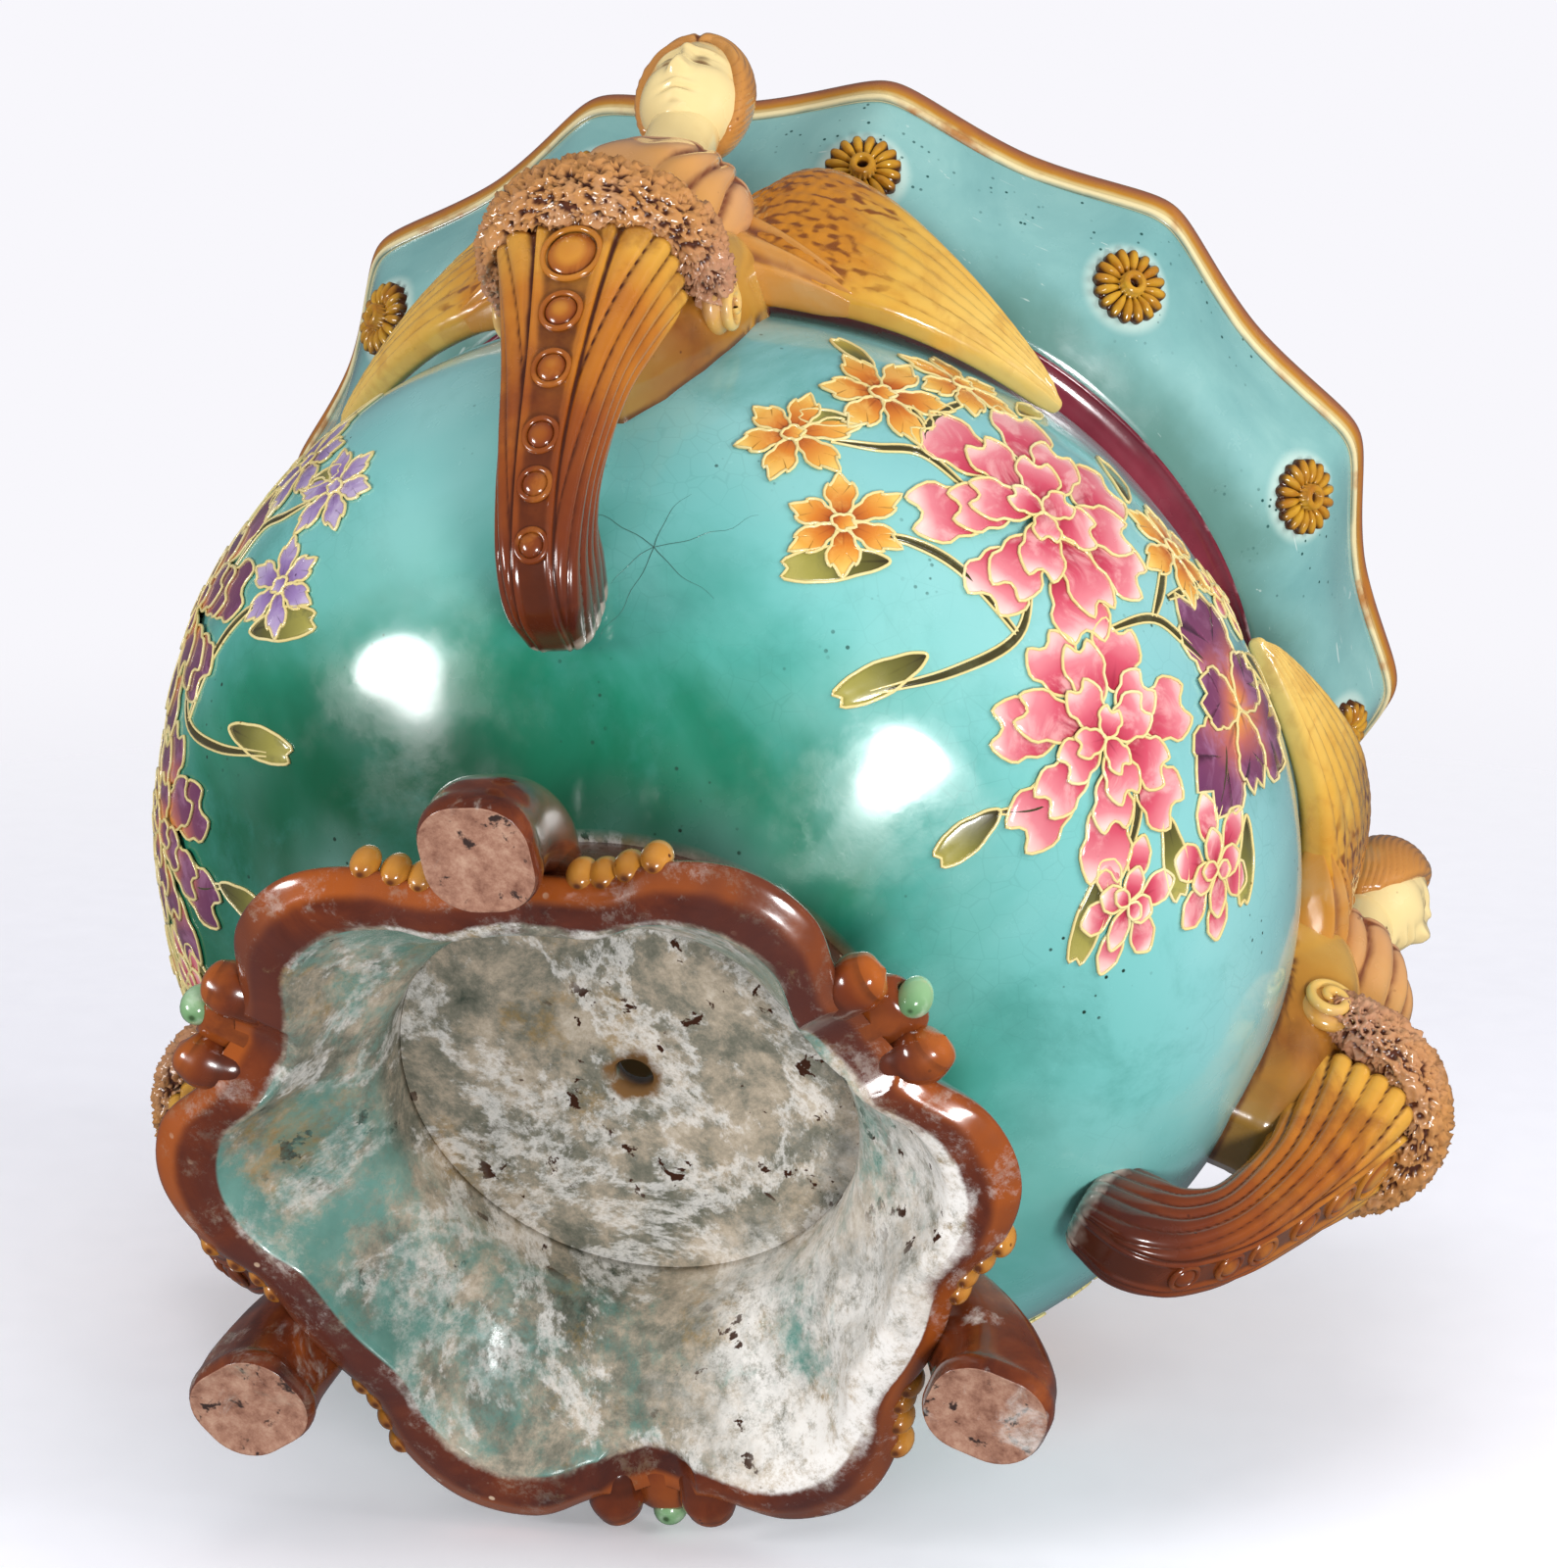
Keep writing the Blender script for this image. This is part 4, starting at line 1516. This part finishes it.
for side, degrees in FEET:
    piece(f"{side}_face", spun(head_patches, degrees), ivory, "ivory_glaze", f"{side}_figure_head")

# Figure hair
# The hair is a cap of clay luted over the head, parted in the middle and combed over the ears to the nape.
# Its amber glaze has turned brown in the comb lines.
HAIR_THICK = 0.0036
NAPE = np.array([-0.0130, 0.0, -0.0230])
# The hair's edge: turn from the front of the face, rise over the ears
HAIRLINE = (
    (0, 0.66),
    (0.35, 0.62),
    (0.7, 0.44),
    (1.05, 0.04),
    (1.35, -0.38),
    (1.7, -0.64),
    (2.2, -0.74),
    (np.pi, -0.78),
)
hair_turn = np.linspace(-np.pi, np.pi, 200, endpoint=False)
hairline_rows = np.array(HAIRLINE)
hairline = np.interp(np.abs(hair_turn), hairline_rows[:, 0], hairline_rows[:, 1])
hair_way = np.linspace(0, 1, 44)[:, None]
hair_rise = hairline + (np.pi / 2 - hairline) * hair_way**0.9
hair_x = np.cos(hair_rise) * np.cos(hair_turn)
hair_y = np.cos(hair_rise) * np.sin(hair_turn)
hair_z = np.sin(hair_rise)
hair_unit = np.stack([hair_x, hair_y, hair_z], -1)
hair_size = np.array([HEAD_DEEP, HEAD_WIDE, HEAD_HIGH]) + HAIR_THICK
hair_edge = np.clip(hair_way / 0.12, 0, 1)
strand = 0.5 + 0.5 * np.cos(2 * np.pi * (hair_x * 8 + np.abs(hair_y) * 3 + 0.9 * np.sin(hair_z * 4)))
part = np.exp(-((hair_y / 0.07) ** 2)) * (hair_x > -0.35)
roll = np.sqrt(1 - (1 - hair_edge) ** 2)
hair_lift = 0.0004 * (strand - 0.5) * hair_edge - 0.0012 * part - 0.0028 * (1 - roll)
hair_grid = hair_unit * (hair_size + hair_lift[..., None])
hair_grid = np.vstack([hair_unit[:1] * (hair_size - 0.0055), hair_grid]) + np.array([-0.001, 0, 0.001])
hair_recess = np.vstack([np.ones((1, len(hair_turn))), np.clip((1 - strand) ** 2 * 0.5 + 0.6 * part, 0, 1)])
nape = ball(0.0070, 0.0125, 0.0105, 26, 60)
nape_turn = np.linspace(0, 2 * np.pi, 60, endpoint=False)
nape_wave = 0.5 + 0.5 * np.cos(7 * nape_turn + 4 * np.linspace(-1, 1, 26)[:, None])
nape = NAPE + nape * (1 + 0.08 * (nape_wave - 0.5))[..., None]
hair_glaze = pooled(
    "amber_hair_glaze",
    ((0.0, (196, 134, 66)), (0.5, (190, 126, 58)), (1.0, (170, 104, 44))),
    (112, 58, 24),
    (206, 152, 84),
    36.0,
    0.45,
)
hair_patches = [
    (tilted(hair_grid), "around", {"along": np.linspace(0, 1, 45)[:, None], "recess": hair_recess}),
    (tilted(nape), "around", {"along": 0.5, "recess": 0.6 * (1 - nape_wave)}),
]
for side, degrees in FEET:
    piece(f"{side}_combed_hair", spun(hair_patches, degrees), hair_glaze, "hair_glaze", f"{side}_figure_hair")

# Wings
# A pair of pressed clay wings lies along the bowl's shoulder behind each bust, luted down at its lower edge.
# The swollen root has amber and brown coverts, which turn into long pale yellow feathers with pressed veins.
FEATHERS = 7
FLECK = 0.0027
# Stations of the wing: degrees from the figure, reach of its face, low edge, top edge, half its thickness
WING_STATIONS = (
    (8.0, 0.2125, 0.2640, 0.3200, 0.0110),
    (10.6, 0.2142, 0.2595, 0.3330, 0.0126),
    (14.2, 0.2138, 0.2600, 0.3362, 0.0122),
    (19.2, 0.2105, 0.2615, 0.3295, 0.0100),
    (25.7, 0.2060, 0.2640, 0.3155, 0.0078),
    (33.6, 0.1995, 0.2690, 0.2990, 0.0060),
    (40.0, 0.1940, 0.2735, 0.2865, 0.0046),
    (42.6, 0.1912, 0.2760, 0.2800, 0.0030),
)
wing_rows = through(WING_STATIONS, 16)
wing_way = np.linspace(0, 1, len(wing_rows))[:, None]
wing_turn = np.linspace(-np.pi, np.pi, 144, endpoint=False)
wing_rise = np.sign(np.sin(wing_turn)) * np.abs(np.sin(wing_turn)) ** 0.85
across_wing = 0.5 + 0.5 * wing_rise + 0 * wing_way
feather_place = across_wing * FEATHERS + 0.35 * np.sin(3 * wing_way)
feather = np.abs(np.sin(np.pi * feather_place)) ** 0.4
vein = np.abs(np.sin(np.pi * (wing_way * 30 + 1.4 * np.abs(feather_place % 1 - 0.5) * 2)))
barb = feather - 0.14 * (1 - vein**0.4)
covert_row = wing_way * 22 + 0.5 * (np.floor(across_wing * 11) % 2)
covert = np.sqrt(np.clip(np.abs(np.sin(np.pi * covert_row)) * np.abs(np.sin(np.pi * across_wing * 11)), 0, 1))
covert_share = 1 / (1 + np.exp((wing_way - 0.46 - 0.06 * np.sin(across_wing * 11)) / 0.03))
wing_relief = 0.4 + covert_share * 0.2 * covert + (1 - covert_share) * (barb - 0.25)
wing_lift = 0.0026 * (wing_relief - 0.7) * np.clip((1 - wing_way) / 0.1, 0.2, 1)
wing_grid = fin(wing_rows, wing_lift, 144)
wing_facing = np.clip(np.cos(wing_turn), 0, 1) ** 0.4
wing_flecks = []
for row in wing_grid[4:-4] * np.array([0.6, 0.6, 1]):
    wing_flecks.append([noise.noise(Vector(spot) / FLECK) for spot in row])
covert_pool = covert_share * np.clip(1.6 * np.array(wing_flecks) + 0.35, 0, 0.9)
feather_pool = (1 - covert_share) * (1 - barb) ** 1.3
wing_recess = np.clip(covert_pool + feather_pool, 0, 1) * wing_facing
wing_recess = np.vstack([np.zeros((4, 144)), wing_recess, np.zeros((4, 144))])
wing_tone = np.concatenate([np.zeros(4), wing_way[:, 0], np.ones(4)])[:, None]
feather_glaze = pooled(
    "yellow_feather_glaze",
    (
        (0.05, (196, 122, 24)),
        (0.36, (198, 128, 32)),
        (0.52, (214, 164, 66)),
        (0.75, (222, 184, 96)),
        (1.0, (220, 188, 110)),
    ),
    (128, 70, 22),
    (172, 108, 36),
    60.0,
    0.35,
)
for side, degrees in FEET:
    for letter, mirror in (("a", 1), ("b", -1)):
        patch = (wing_grid * np.array([1, mirror, 1]), "around", {"along": wing_tone, "recess": wing_recess})
        wing = spun([patch], degrees)
        node = f"{side}_figure_wing_{letter}"
        piece(f"{side}_feathered_wing_{letter}", wing, feather_glaze, "feather_glaze", node)

# Studio
# The pot lies on its side on white paper, between a tall soft box on the left and another by the camera.
# Two wide lamps, on the right and above, fill the shadows, and a pale grey room surrounds it.
PAPER_UP = Vector((-0.768, -0.556, 0.317)).normalized()
PAPER_CLEAR = 1.15
PAPER_FULL = 0.42
PAPER_GLOW = 0.16
PAPER_GAP = 0.0005
ROOM_LIGHT = 0.58
ROOM_MIRRORED = -0.42
CAMERA_LENS = 146.25
CAMERA_AT = (-0.7048, -1.1592, -1.5318)
POT_MIDDLE = Vector((0, 0, 0.2))
paper_level = 1.0
for thing in bpy.data.objects:
    if thing.type == "MESH" and thing.data.vertices:
        corners = np.empty(len(thing.data.vertices) * 3)
        thing.data.vertices.foreach_get("co", corners)
        paper_level = min(paper_level, float((corners.reshape(-1, 3) @ np.array(PAPER_UP)).min()))
paper_mesh = bpy.data.meshes.new("studio_paper")
paper_work = bmesh.new()
bmesh.ops.create_circle(paper_work, cap_ends=True, radius=PAPER_CLEAR * 1.1, segments=96)
paper_work.to_mesh(paper_mesh)
paper_work.free()
paper = bpy.data.objects.new("studio_paper", paper_mesh)
bpy.context.scene.collection.objects.link(paper)
paper.rotation_euler = PAPER_UP.to_track_quat("Z", "Y").to_euler()
paper.location = POT_MIDDLE + PAPER_UP * (paper_level - POT_MIDDLE.dot(PAPER_UP) - PAPER_GAP)
paper_look = Glaze("studio_paper", 0.9, 0.0)
paper_look.material.surface_render_method = "BLENDED"
paper_tone = paper_look.ramp(paper_look.cloud(60, 4), (0.3, (244, 243, 248)), (0.7, (247, 246, 251)))
far = paper_look.node("ShaderNodeVectorMath", "Value", [(0, paper_look.place)], operation="LENGTH")
clear = paper_look.ease(far, PAPER_FULL, PAPER_CLEAR)
behind = paper_look.node("ShaderNodeNewGeometry", "Backfacing")
clear = paper_look.count("MAXIMUM", clear, behind)
indirect = paper_look.count("SUBTRACT", 1.0, paper_look.node("ShaderNodeLightPath", "Is Camera Ray"))
clear = paper_look.count("MAXIMUM", clear, indirect)
paper_look.feed(paper_look.shader.inputs["Base Color"], paper_tone)
paper_look.feed(paper_look.shader.inputs["Emission Color"], paper_tone)
paper_look.shader.inputs["Emission Strength"].default_value = PAPER_GLOW
paper_look.feed(paper_look.shader.inputs["Alpha"], paper_look.count("SUBTRACT", 1.0, clear))
paper_mesh.materials.append(paper_look.material)


def soft_box(name, toward, distance, wide, high, power):
    """An area lamp that stands off the pot in a direction and faces it."""
    lamp = bpy.data.lights.new(name, "AREA")
    lamp.shape = "ELLIPSE"
    lamp.size = wide
    lamp.size_y = high
    lamp.energy = power
    held = bpy.data.objects.new(name, lamp)
    held.location = POT_MIDDLE + Vector(toward).normalized() * distance
    held.rotation_euler = Vector(toward).to_track_quat("Z", "Y").to_euler()
    bpy.context.scene.collection.objects.link(held)
    return held


left_box = soft_box("left_soft_box", (-0.741, 0.389, -0.548), 1.5, 0.34, 0.56, 11)
camera_box = soft_box("camera_soft_box", (0.036, -0.578, -0.815), 1.8, 0.30, 0.46, 18)
right_box = soft_box("right_soft_box", (0.19, -0.975, 0.025), 1.6, 0.9, 0.9, 13)
top_box = soft_box("top_soft_box", (-0.768, -0.556, 0.317), 1.5, 1.2, 1.2, 6)
right_box.visible_glossy = False
top_box.visible_glossy = False

world = bpy.data.worlds.new("white_studio")
bpy.context.scene.world = world
world.use_nodes = True
sky = world.node_tree
seen = sky.nodes.new("ShaderNodeLightPath")
seen_white = sky.nodes.new("ShaderNodeBackground")
seen_white.inputs["Color"].default_value = paint(248, 247, 252)
room = sky.nodes["Background"]
room.inputs["Color"].default_value = paint(226, 228, 236)
dimmed = sky.nodes.new("ShaderNodeMath")
dimmed.operation = "MULTIPLY_ADD"
dimmed.inputs[1].default_value = ROOM_MIRRORED
dimmed.inputs[2].default_value = ROOM_LIGHT
sky.links.new(seen.outputs["Is Glossy Ray"], dimmed.inputs[0])
sky.links.new(dimmed.outputs[0], room.inputs["Strength"])
either = sky.nodes.new("ShaderNodeMixShader")
sky.links.new(seen.outputs["Is Camera Ray"], either.inputs[0])
sky.links.new(room.outputs[0], either.inputs[1])
sky.links.new(seen_white.outputs[0], either.inputs[2])
sky.links.new(either.outputs[0], sky.nodes["World Output"].inputs[0])

camera_data = bpy.data.cameras.new("photo_camera")
camera_data.lens = CAMERA_LENS
camera_data.sensor_width = 36.0
camera_data.clip_end = 20.0
camera = bpy.data.objects.new("photo_camera", camera_data)
camera_right = Vector((0.63075, -0.74199, 0.22714))
camera_up = Vector((-0.70867, -0.43155, 0.55817))
camera_back = Vector((-0.31614, -0.51303, -0.79803))
turn = Matrix((camera_right, camera_up, camera_back)).transposed()
camera.matrix_world = Matrix.Translation(CAMERA_AT) @ turn.to_4x4()
bpy.context.scene.collection.objects.link(camera)
bpy.context.scene.camera = camera
bpy.context.scene.view_settings.view_transform = "Standard"
